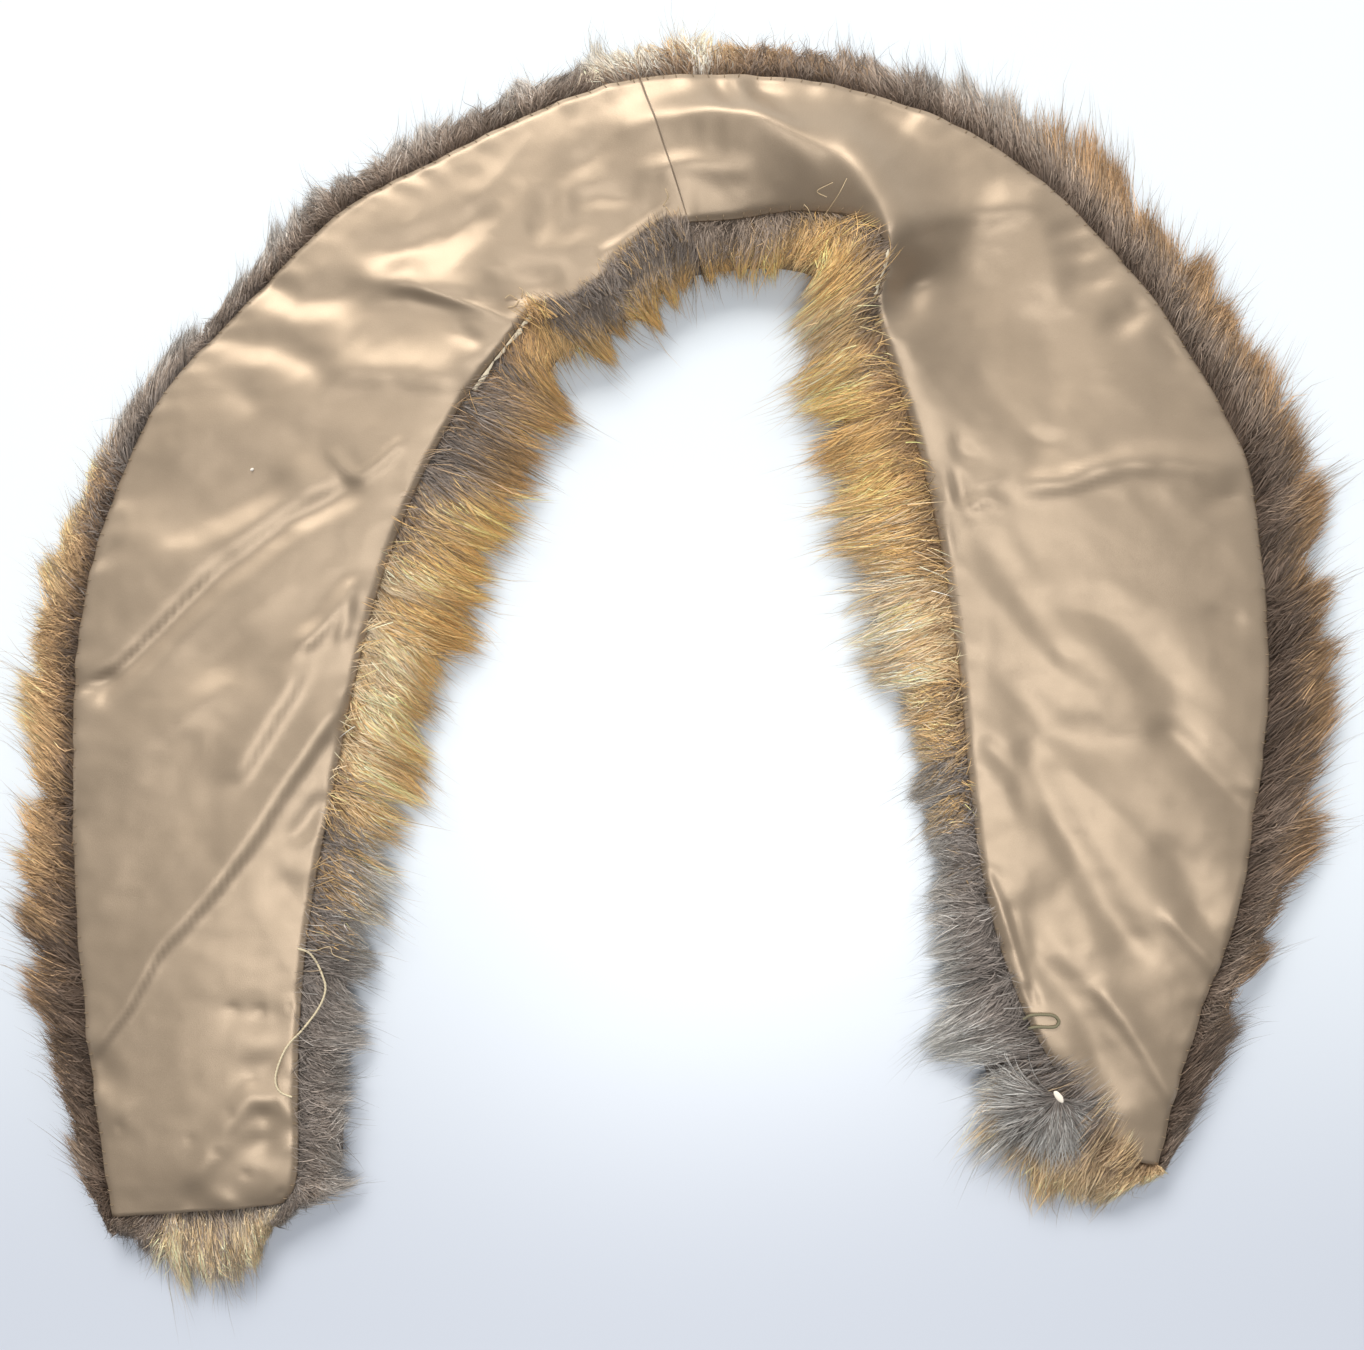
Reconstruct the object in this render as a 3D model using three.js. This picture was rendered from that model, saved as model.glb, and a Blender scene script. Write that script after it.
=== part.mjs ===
// Fur collar stole laid flat, satin lining up. Millimetres, +Z up, underside at Z = 0.
// The band runs from the straight left end, round the neck, to the pointed right end.
import * as THREE from 'three';

const liningThickness = 1.4;
const liningToFur = 0.42;
const seamGap = 0.3;
const stationStep = 10;
const acrossShares = [0, 0.06, 0.15, 0.27, 0.39, 0.5, 0.61, 0.73, 0.85, 0.94, 1];
const restHeight = 20;
const lipWidth = 26;
const lockDepth = 0.22;
const middleX = -2.7;
const middleY = -1.4;

// One row a section across the band: both edges of the lining, the fur's tips past them,
// the height of each edge, how far the padding lifts the lining between them,
// and the neck's crest, as a share of the way across and its lift over the rest height.
const columns = ['innerX', 'innerY', 'outerX', 'outerY', 'innerTipX', 'innerTipY', 'outerTipX', 'outerTipY',
  'innerHeight', 'outerHeight', 'puff', 'crestShare', 'crestLift'];
const sections = [
  [-181, -240, -259, -246, -175, -247, -266, -251, 15, 15, 1.5, 0, 0],
  [-174, -224, -262, -221, -147, -228, -281, -219, 19, 17, 2.5, 0, 0],
  [-173, -164, -269, -165, -147, -166, -297, -163, 20, 18, 3.5, 0, 0],
  [-168, -108, -274, -104, -137, -110, -305, -102, 20, 19, 4, 0, 0],
  [-156, -45, -275, -45, -127, -48, -300, -40, 21, 19, 4, 0, 1],
  [-143, 16, -273, 16, -104, 12, -302, 20, 22, 19, 5, 0, 2],
  [-127, 67, -261, 70, -85, 62, -280, 78, 22, 19, 6, 0, 2],
  [-102, 117, -236, 125, -63, 108, -249, 133, 24, 19, 6, 0, 4],
  [-73, 156, -197, 167, -48, 137, -207, 176, 26, 20, 5, 0, 6],
  [-65, 166, -179, 186, -40, 142, -191, 197, 28, 20, 5, 0, 8],
  [-50, 168, -152, 210, -29, 149, -166, 225, 28, 20, 4, 0, 8],
  [-36, 177, -120, 227, -18, 155, -132, 243, 27, 21, 4, 0, 7],
  [-12, 199, -59, 256, 3, 169, -68, 276, 28, 21, 3, 0.1, 8],
  [3, 203, -19, 268, 13, 173, -25, 287, 26, 21, 3, 0.6, 10],
  [23, 205, 24, 270, 25, 175, 24, 294, 25, 21, 1, 0.7, 17],
  [52, 208, 73, 265, 40, 174, 78, 284, 28, 21, 1, 0.42, 22],
  [78, 201, 123, 248, 50, 171, 135, 266, 39, 21, 2, 0.12, 26],
  [90, 185, 163, 222, 46, 162, 179, 240, 48, 21, 3, 0, 28],
  [86, 167, 197, 188, 44, 155, 222, 202, 42, 21, 4, 0, 22],
  [89, 150, 222, 156, 50, 145, 251, 166, 34, 21, 6, 0, 14],
  [105, 105, 253, 101, 62, 99, 286, 107, 25, 20, 7, 0, 5],
  [117, 56, 262, 50, 71, 54, 294, 53, 22, 20, 6, 0, 2],
  [125, 2, 265, -2, 92, -4, 299, -2, 22, 20, 6, 0, 2],
  [130, -52, 260, -56, 109, -56, 296, -56, 22, 20, 5, 0, 2],
  [138, -103, 251, -107, 116, -108, 279, -110, 22, 20, 4.5, 0, 2],
  [154, -151, 235, -152, 118, -160, 257, -156, 21, 19, 3, 0, 1],
  [175, -188, 223, -192, 133, -216, 241, -195, 20, 18, 2, 0, 0],
  [188, -205, 220, -208, 159, -240, 232, -212, 18, 16, 1, 0, 0],
  [203, -220, 217, -223, 186, -243, 223, -229, 15, 14, 0.5, 0, 0],
];
const seamRow = 13;
const tipRow = sections.length - 1;

// The fur goes on past both ends of the lining as a tuft.
const leftTuft = [
  [-205, -292, -223, -294, -200, -293, -228, -295, 7, 7, 0, 0, 0],
  [-197, -273, -235, -275, -190, -276, -241, -278, 11, 11, 0, 0, 0],
  [-193, -254, -254, -257, -186, -258, -260, -261, 13, 13, 0.5, 0, 0],
];
const rightTuft = [
  [205, -226, 213, -228, 195, -244, 217, -232, 10, 10, 0, 0, 0],
];

// The folds of the lining were measured on a flat picture of the stole, in its pixels.
const picture = { middleX: 682, middleY: 675, pixel: 0.45 };
const foldDepth = 1.5;

// One row a fold: three picture places along it, then its half width and height in millimetres.
const foldColumns = ['startX', 'startY', 'midX', 'midY', 'endX', 'endY', 'halfWidth', 'height'];
const folds = [
  [497, 283, 525, 287, 557, 283, 9, -3.2],
  [379, 257, 420, 251, 484, 216, 8, -2.2],
  [219, 343, 275, 345, 331, 372, 8, -1.6],
  [331, 372, 400, 372, 459, 381, 8, 2.2],
  [357, 487, 290, 524, 213, 583, 8, -2.4],
  [213, 583, 156, 640, 95, 697, 8, -2.4],
  [124, 500, 190, 492, 277, 461, 18, -2.6],
  [165, 535, 225, 514, 290, 481, 9, -1.6],
  [190, 668, 220, 657, 245, 650, 12, -2],
  [70, 785, 150, 738, 250, 690, 14, 2],
  [340, 700, 290, 772, 240, 850, 8, 2.4],
  [240, 850, 206, 895, 160, 945, 8, 2.2],
  [160, 945, 126, 1005, 85, 1060, 8, 2],
  [225, 1012, 255, 1016, 286, 1017, 8, -2.2],
  [690, 92, 740, 98, 790, 118, 8, 1.6],
  [893, 262, 903, 287, 897, 316, 12, -6],
  [930, 250, 975, 300, 1027, 373, 22, -3.2],
  [1043, 309, 1060, 370, 1075, 437, 13, -2.4],
  [1037, 215, 1046, 250, 1056, 290, 9, 2.2],
  [1059, 402, 1075, 428, 1092, 452, 8, 1.8],
  [1107, 468, 1155, 462, 1235, 470, 8, 2.4],
  [1050, 604, 1091, 612, 1125, 630, 9, -1.6],
  [1005, 670, 1045, 728, 1110, 750, 13, -2.6],
  [1110, 750, 1145, 749, 1180, 728, 13, -2],
  [1130, 636, 1160, 676, 1185, 702, 11, -2.4],
  [1024, 750, 1053, 812, 1080, 862, 8, -2.6],
  [1080, 862, 1110, 912, 1140, 960, 8, -2.6],
  [1165, 843, 1190, 890, 1208, 928, 9, -2],
  [1050, 880, 1062, 912, 1076, 940, 8, -1.6],
  [1032, 900, 1038, 960, 1080, 1006, 8, -2],
  [1082, 1010, 1104, 1070, 1116, 1108, 8, -1.8],
];

const liningColour = 0xb8a78d;
const furColour = 0x8f7355;
const peltColour = 0xdfd2b2;
const hookColour = 0x8d8467;
const threadColour = 0xd9c69c;

function mix(a, b, share) {
  return a + (b - a) * share;
}

// A picture place in the millimetres of the sections' table.
function fromPicture(x, y) {
  return [picture.pixel * (x - picture.middleX), picture.pixel * (picture.middleY - y)];
}

// The distance from a segment and how far along it, past an end that is open too.
function nearSegment(x, y, start, end, openStart, openEnd) {
  const length = Math.hypot(end[0] - start[0], end[1] - start[1]);
  const ahead = [(end[0] - start[0]) / length, (end[1] - start[1]) / length];
  const along = (x - start[0]) * ahead[0] + (y - start[1]) * ahead[1];
  const held = Math.min(openEnd ? Infinity : length, Math.max(openStart ? -Infinity : 0, along));
  const distance = Math.hypot(x - start[0] - held * ahead[0], y - start[1] - held * ahead[1]);
  return { distance, along, length };
}

// The folds' height at a place of the sections' table. A fold fades out past its two ends.
function foldHeight(x, y) {
  let height = 0;
  for (const values of folds) {
    const fold = Object.fromEntries(foldColumns.map((column, i) => [column, values[i]]));
    const mid = fromPicture(fold.midX, fold.midY);
    const first = nearSegment(x, y, fromPicture(fold.startX, fold.startY), mid, true, false);
    const second = nearSegment(x, y, mid, fromPicture(fold.endX, fold.endY), false, true);
    const nearFirst = first.distance < second.distance;
    const fromStart = nearFirst ? first.along : first.length + Math.max(0, second.along);
    const toEnd = first.length + second.length - fromStart;
    const soft = 0.9 * fold.halfWidth;
    const fade = 0.25 * (1 + Math.tanh(fromStart / soft)) * (1 + Math.tanh(toEnd / soft));
    const share = Math.min(first.distance, second.distance) / fold.halfWidth;
    height += fold.height * fade * Math.exp(-(share ** 2));
  }
  return foldDepth * height;
}

// A smooth curve through the rows of a table, at a place counted in rows.
function rowAt(rows, place) {
  const last = rows.length - 1;
  const index = Math.min(last - 1, Math.max(0, Math.floor(place)));
  const share = place - index;
  const pick = (i) => rows[Math.min(last, Math.max(0, i))];
  const values = {};
  columns.forEach((column, i) => {
    const [a, b, c, d] = [pick(index - 1)[i], pick(index)[i], pick(index + 1)[i], pick(index + 2)[i]];
    const bend = share * share * (2 * a - 5 * b + 4 * c - d) + share ** 3 * (3 * b - a - 3 * c + d);
    values[column] = b + 0.5 * (share * (c - a) + bend);
  });
  return values;
}

// Places along the band about one station step apart.
function placesBetween(firstRow, lastRow) {
  const places = [];
  for (let row = firstRow; row < lastRow; row += 1) {
    const [from, to] = [sections[row], sections[row + 1]];
    const steps = Math.max(1, Math.round(Math.hypot(to[2] - from[2], to[3] - from[3]) / stationStep));
    for (let step = 0; step < steps; step += 1) places.push(row + step / steps);
  }
  places.push(lastRow);
  return places;
}

// The station at a place, moved along the band by a shift so that two halves keep apart.
function stationAt(place, shift = 0) {
  const values = rowAt(sections, place);
  const across = new THREE.Vector2(values.outerX - values.innerX, values.outerY - values.innerY).normalize();
  for (const name of ['inner', 'outer', 'innerTip', 'outerTip']) {
    values[name + 'X'] += across.y * shift - middleX;
    values[name + 'Y'] += -across.x * shift - middleY;
  }
  return values;
}

function tuftStation(row) {
  const values = {};
  columns.forEach((column, i) => { values[column] = row[i]; });
  for (const name of ['inner', 'outer', 'innerTip', 'outerTip']) {
    values[name + 'X'] -= middleX;
    values[name + 'Y'] -= middleY;
  }
  return values;
}

// How far a place across the band stands over the rest height: a straight rise from the
// inner edge to the crest, then a soft fall.
function neckLift(station, share, width) {
  const innerLift = Math.max(0, station.innerHeight - restHeight);
  const crest = Math.max(0, station.crestShare);
  if (share < crest) return mix(innerLift, station.crestLift, share / crest);
  const fall = Math.min(lipWidth, 0.5 * (1 - crest) * width);
  return Math.max(0, station.crestLift) * Math.exp(-((((share - crest) * width) / fall) ** 2));
}

// Points of the lining's upper face from the inner to the outer edge.
function topPoints(station, folded = 1) {
  const width = Math.hypot(station.outerX - station.innerX, station.outerY - station.innerY);
  const innerRest = Math.min(station.innerHeight, restHeight);
  return acrossShares.map((share) => {
    const x = mix(station.innerX, station.outerX, share);
    const y = mix(station.innerY, station.outerY, share);
    const puff = station.puff * Math.sin(Math.PI * share) ** 0.7;
    const fold = foldHeight(x + middleX, y + middleY) * folded;
    const rest = mix(innerRest, station.outerHeight, share);
    return new THREE.Vector3(x, y, rest + neckLift(station, share, width) + puff + fold);
  });
}

function lowered(points, drop) {
  return points.map((point) => new THREE.Vector3(point.x, point.y, point.z - drop));
}

function liningRing(station) {
  const top = topPoints(station);
  return [...lowered(top, liningThickness), ...top.reverse()];
}

// Points of the fur past one edge: out over the pile to the tips and back underneath.
const pileProfile = [
  { reach: 0.35, height: 0.97, wave: 0 },
  { reach: 0.75, height: 0.72, wave: 0.5 },
  { reach: 1, height: 0.4, wave: 1 },
  { reach: 0.78, height: 0.15, wave: 0.5 },
  { reach: 0.4, height: 0, wave: 0 },
];

function unevenness(number) {
  const value = Math.sin(number * 12.9898) * 43758.5453;
  return value - Math.floor(value);
}

// How much shorter than its reach the fur is at a station: every second lock stands back.
function lockWave(number, seed) {
  const everySecond = (number % 2) * lockDepth * (0.4 + 1.2 * unevenness(number + seed));
  return everySecond + 0.12 * unevenness(2 * number + seed);
}

function rimPoints(edge, tipX, tipY, wave) {
  return pileProfile.map((part) => {
    const share = part.reach * (1 - wave * part.wave);
    return new THREE.Vector3(mix(edge.x, tipX, share), mix(edge.y, tipY, share), edge.z * part.height);
  });
}

function furRing(station, number, folded = 1) {
  const top = topPoints(station, folded);
  const under = lowered(top, liningThickness + liningToFur);
  const innerWave = lockWave(number, 0.5);
  const outerWave = lockWave(number, 7.5);
  const outerRim = rimPoints(top[top.length - 1], station.outerTipX, station.outerTipY, outerWave);
  const innerRim = rimPoints(top[0], station.innerTipX, station.innerTipY, innerWave).reverse();
  const middle = new THREE.Vector3(
    (station.innerX + station.outerX) / 2, (station.innerY + station.outerY) / 2, 0);
  return [...under, ...outerRim, middle, ...innerRim];
}

// A closed body through rings that all have the same number of points.
// A thick one is closed by a fan at each end, a thin one by faces between its two sides.
function loft(rings, thin = false) {
  const count = rings[0].length;
  const ends = thin ? [] : [rings[0], rings[rings.length - 1]].map(middleOf);
  const positions = [...rings.flat(), ...ends].flatMap((point) => [point.x, point.y, point.z]);
  const [firstMiddle, lastMiddle] = [rings.length * count, rings.length * count + 1];
  const last = (rings.length - 1) * count;
  const triangles = thin ? thinEnds(count, last) : [];
  for (let i = 0; i < count; i += 1) {
    const next = (i + 1) % count;
    if (!thin) triangles.push(firstMiddle, next, i, lastMiddle, last + i, last + next);
    for (let start = 0; start < last; start += count) {
      triangles.push(start + i, start + next, start + count + i);
      triangles.push(start + next, start + count + next, start + count + i);
    }
  }
  const geometry = new THREE.BufferGeometry();
  geometry.setAttribute('position', new THREE.Float32BufferAttribute(positions, 3));
  geometry.setIndex(signedVolume(positions, triangles) < 0 ? triangles.reverse() : triangles);
  return geometry;
}

function thinEnds(count, last) {
  const triangles = [];
  for (let i = 0; i + 1 < count / 2; i += 1) {
    const [a, b, c, d] = [i, i + 1, count - 2 - i, count - 1 - i];
    triangles.push(a, d, b, b, d, c);
    triangles.push(last + a, last + b, last + d, last + b, last + c, last + d);
  }
  return triangles;
}

function middleOf(ring) {
  const sum = ring.reduce((total, point) => total.add(point), new THREE.Vector3());
  return sum.divideScalar(ring.length);
}

function signedVolume(positions, triangles) {
  let volume = 0;
  const point = (i) => new THREE.Vector3(positions[3 * i], positions[3 * i + 1], positions[3 * i + 2]);
  for (let i = 0; i < triangles.length; i += 3) {
    volume += point(triangles[i]).dot(point(triangles[i + 1]).cross(point(triangles[i + 2])));
  }
  return volume;
}

// A strip of bare pelt lying on the fur just past the inner edge of the lining.
const peltStart = 0.4;
const peltWidth = 2.4;
const peltThickness = 0.8;

function peltRing(station) {
  const edge = topPoints(station)[0];
  const reach = Math.hypot(station.innerTipX - station.innerX, station.innerTipY - station.innerY);
  const first = edge.z - liningThickness - liningToFur;
  const at = (distance, rise) => new THREE.Vector3(
    mix(edge.x, station.innerTipX, distance / reach),
    mix(edge.y, station.innerTipY, distance / reach),
    mix(first, edge.z * pileProfile[0].height, distance / (pileProfile[0].reach * reach)) + rise);
  const outer = peltStart + peltWidth;
  return [at(peltStart, 0.4), at(outer, 0.4), at(outer, 0.4 + peltThickness), at(peltStart, 0.4 + peltThickness)];
}

function stripOf(places) {
  return loft(places.map((place) => peltRing(stationAt(place))), true);
}

// A round wire or thread through points, closed at both ends.
function roundAlong(points, diameter, steps, sides) {
  const path = new THREE.CatmullRomCurve3(
    points.map(([x, y, z]) => new THREE.Vector3(x - middleX, y - middleY, z)));
  const circle = [];
  for (let i = 0; i < sides; i += 1) {
    const angle = (2 * Math.PI * i) / sides;
    circle.push(new THREE.Vector2(Math.cos(angle) * diameter / 2, Math.sin(angle) * diameter / 2));
  }
  return new THREE.ExtrudeGeometry(new THREE.Shape(circle), { steps, extrudePath: path, bevelEnabled: false });
}

const hookWire = 1.4;
const hookRoute = [
  [153.5, -155, 21.6], [157, -152.9, 22.4], [164.9, -152.6, 23], [168, -153.7, 23],
  [169.2, -156, 22.9], [167, -158.1, 22.9], [159.5, -158.2, 22.4], [155.5, -159, 21.8],
];

const threadWidth = 1;
const threadRoute = [
  [-173, -123, 21.4], [-168, -125, 21], [-164.5, -130, 20], [-162, -135.5, 20.3], [-160.7, -140.5, 20],
  [-161.6, -145.5, 20], [-164.3, -151, 19.9], [-168.3, -156.5, 20], [-172, -161, 21], [-176, -165, 21.3],
  [-179, -169.5, 21.6], [-181.6, -176, 22], [-182.7, -181, 22.1], [-182.2, -185, 22], [-180, -188, 21.7],
  [-175.5, -190, 21.1],
];

const stole = new THREE.Group();
stole.name = 'fur_collar_stole';

function add(name, geometry, colour, roughness) {
  const material = new THREE.MeshStandardMaterial({ color: colour, roughness });
  const mesh = new THREE.Mesh(geometry, material);
  mesh.name = name;
  stole.add(mesh);
}

function seamed(places, shift, atLast) {
  return places.map((place, i) => stationAt(place, (atLast ? i === places.length - 1 : i === 0) ? shift : 0));
}

const leftStations = seamed(placesBetween(0, seamRow), -seamGap / 2, true);
const rightStations = seamed(placesBetween(seamRow, tipRow), seamGap / 2, false);
const leftFur = [...leftTuft.map((row, i) => furRing(tuftStation(row), i, 0)),
  ...leftStations.map((station, i) => furRing(station, i))];
const rightFur = [...rightStations.map((station, i) => furRing(station, i)),
  ...rightTuft.map((row, i) => furRing(tuftStation(row), i, 0))];

add('lining_left', loft(leftStations.map(liningRing), true), liningColour, 0.45);
add('lining_right', loft(rightStations.map(liningRing), true), liningColour, 0.45);
add('fur_left', loft(leftFur), furColour, 0.95);
add('fur_right', loft(rightFur), furColour, 0.95);
add('pelt_edge_left', stripOf(placesBetween(7, 9).slice(2)), peltColour, 0.9);
add('pelt_edge_right', stripOf(placesBetween(17, 18)), peltColour, 0.9);
add('hook_eye', roundAlong(hookRoute, hookWire, 36, 8), hookColour, 0.7);
add('thread_loop', roundAlong(threadRoute, threadWidth, 64, 8), threadColour, 0.8);

export default stole;
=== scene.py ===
import bpy
import numpy as np
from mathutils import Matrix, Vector


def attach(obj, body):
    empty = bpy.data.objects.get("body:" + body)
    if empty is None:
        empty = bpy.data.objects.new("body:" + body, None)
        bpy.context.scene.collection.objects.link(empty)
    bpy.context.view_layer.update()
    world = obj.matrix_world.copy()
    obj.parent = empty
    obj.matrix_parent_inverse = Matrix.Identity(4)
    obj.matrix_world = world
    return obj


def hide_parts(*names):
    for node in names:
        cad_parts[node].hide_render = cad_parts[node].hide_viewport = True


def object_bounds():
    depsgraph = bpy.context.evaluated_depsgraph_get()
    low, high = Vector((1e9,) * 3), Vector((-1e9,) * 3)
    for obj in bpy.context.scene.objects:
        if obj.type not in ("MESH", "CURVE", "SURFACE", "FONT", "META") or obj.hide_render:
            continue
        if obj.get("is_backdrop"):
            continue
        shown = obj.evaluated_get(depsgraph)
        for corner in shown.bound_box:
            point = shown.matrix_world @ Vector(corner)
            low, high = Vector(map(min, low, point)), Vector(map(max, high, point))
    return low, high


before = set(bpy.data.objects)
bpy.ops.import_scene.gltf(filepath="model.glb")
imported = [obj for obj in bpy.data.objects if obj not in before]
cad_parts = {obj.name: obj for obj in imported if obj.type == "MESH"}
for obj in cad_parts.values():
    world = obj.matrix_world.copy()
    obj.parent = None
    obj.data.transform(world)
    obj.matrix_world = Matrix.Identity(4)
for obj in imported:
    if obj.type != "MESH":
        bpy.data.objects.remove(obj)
sizes = {"part": [list(corner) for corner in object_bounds()]}
print("stage: frame loaded")

# Lengths below are millimetres, and the scene is in metres.
metre = 0.001
# The tables keep the band's own middle, which stands here in the part's frame.
middle = {"x": -2.7, "y": -1.4}


# Camera, straight above the stole as it was photographed
camera = {"x": 2.7, "y": 1.4, "height": 751, "lens": 42.8, "sensor": 36}


def makeCamera():
    data = bpy.data.cameras.new("photoCamera")
    data.lens = camera["lens"]
    data.sensor_width = camera["sensor"]
    eye = bpy.data.objects.new("photoCamera", data)
    eye.location = (camera["x"] * metre, camera["y"] * metre, camera["height"] * metre)
    bpy.context.scene.collection.objects.link(eye)
    bpy.context.scene.camera = eye


makeCamera()


# The band's sections, from the straight left end round the neck to the pointed right end
columns = ("innerX", "innerY", "outerX", "outerY", "innerTipX", "innerTipY", "outerTipX", "outerTipY",
           "innerHeight", "outerHeight", "puff", "crestShare", "crestLift")
sections = np.array([
    (-181, -240, -259, -246, -175, -247, -266, -251, 15, 15, 1.5, 0, 0),
    (-174, -224, -262, -221, -147, -228, -281, -219, 19, 17, 2.5, 0, 0),
    (-173, -164, -269, -165, -147, -166, -297, -163, 20, 18, 3.5, 0, 0),
    (-168, -108, -274, -104, -137, -110, -305, -102, 20, 19, 4, 0, 0),
    (-156, -45, -275, -45, -127, -48, -300, -40, 21, 19, 4, 0, 1),
    (-143, 16, -273, 16, -104, 12, -302, 20, 22, 19, 5, 0, 2),
    (-127, 67, -261, 70, -85, 62, -280, 78, 22, 19, 6, 0, 2),
    (-102, 117, -236, 125, -63, 108, -249, 133, 24, 19, 6, 0, 4),
    (-73, 156, -197, 167, -48, 137, -207, 176, 26, 20, 5, 0, 6),
    (-65, 166, -179, 186, -40, 142, -191, 197, 26, 20, 5, 0.4, 3),
    (-50, 168, -152, 210, -29, 149, -166, 225, 25, 22, 4, 0.5, 2),
    (-36, 177, -120, 227, -18, 155, -132, 243, 25, 23, 3, 0.5, 2),
    (-12, 199, -59, 256, 3, 169, -68, 276, 25, 24, 2, 0.6, 3),
    (3, 203, -19, 268, 13, 173, -25, 287, 25, 24, 2, 0.62, 8),
    (23, 205, 24, 270, 25, 175, 24, 294, 23, 22, 1, 0.62, 18),
    (52, 208, 73, 265, 40, 174, 78, 284, 26, 21, 1, 0.39, 24),
    (78, 201, 123, 248, 50, 171, 135, 266, 39, 21, 2, 0.12, 26),
    (90, 185, 163, 222, 46, 162, 179, 240, 48, 21, 3, 0, 28),
    (86, 167, 197, 188, 44, 155, 222, 202, 42, 21, 4, 0, 22),
    (89, 150, 222, 156, 50, 145, 251, 166, 34, 21, 6, 0, 14),
    (105, 105, 253, 101, 62, 99, 286, 107, 25, 20, 7, 0, 5),
    (117, 56, 262, 50, 71, 54, 294, 53, 22, 20, 6, 0, 2),
    (125, 2, 265, -2, 92, -4, 299, -2, 22, 20, 6, 0, 2),
    (130, -52, 260, -56, 109, -56, 296, -56, 22, 20, 5, 0, 2),
    (138, -103, 251, -107, 116, -108, 279, -110, 22, 20, 4.5, 0, 2),
    (154, -151, 235, -152, 118, -160, 257, -156, 21, 19, 3, 0, 1),
    (175, -188, 223, -192, 133, -216, 241, -195, 20, 18, 2, 0, 0),
    (188, -205, 220, -208, 159, -240, 232, -212, 18, 16, 1, 0, 0),
    (203, -220, 217, -223, 186, -243, 223, -229, 15, 14, 0.5, 0, 0),
], float)
leftTuft = np.array([
    (-205, -292, -223, -294, -200, -293, -228, -295, 7, 7, 0, 0, 0),
    (-197, -273, -235, -275, -190, -276, -241, -278, 11, 11, 0, 0, 0),
    (-193, -254, -254, -257, -186, -258, -260, -261, 13, 13, 0.5, 0, 0),
], float)
rightTuft = np.array([(205, -226, 213, -228, 195, -244, 217, -232, 10, 10, 0, 0, 0)], float)
furRows = np.vstack([leftTuft, sections, rightTuft])
firstFurPlace = -len(leftTuft)
seamPlace = 13
lastPlace = len(sections) - 1
restHeight = 20
lipWidth = 26
crestSoftness = 1.4

# Places read off the picture: its middle, and millimetres to a pixel at the lining's height
picture = {"middleX": 682, "middleY": 675, "pixel": 0.45}

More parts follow.
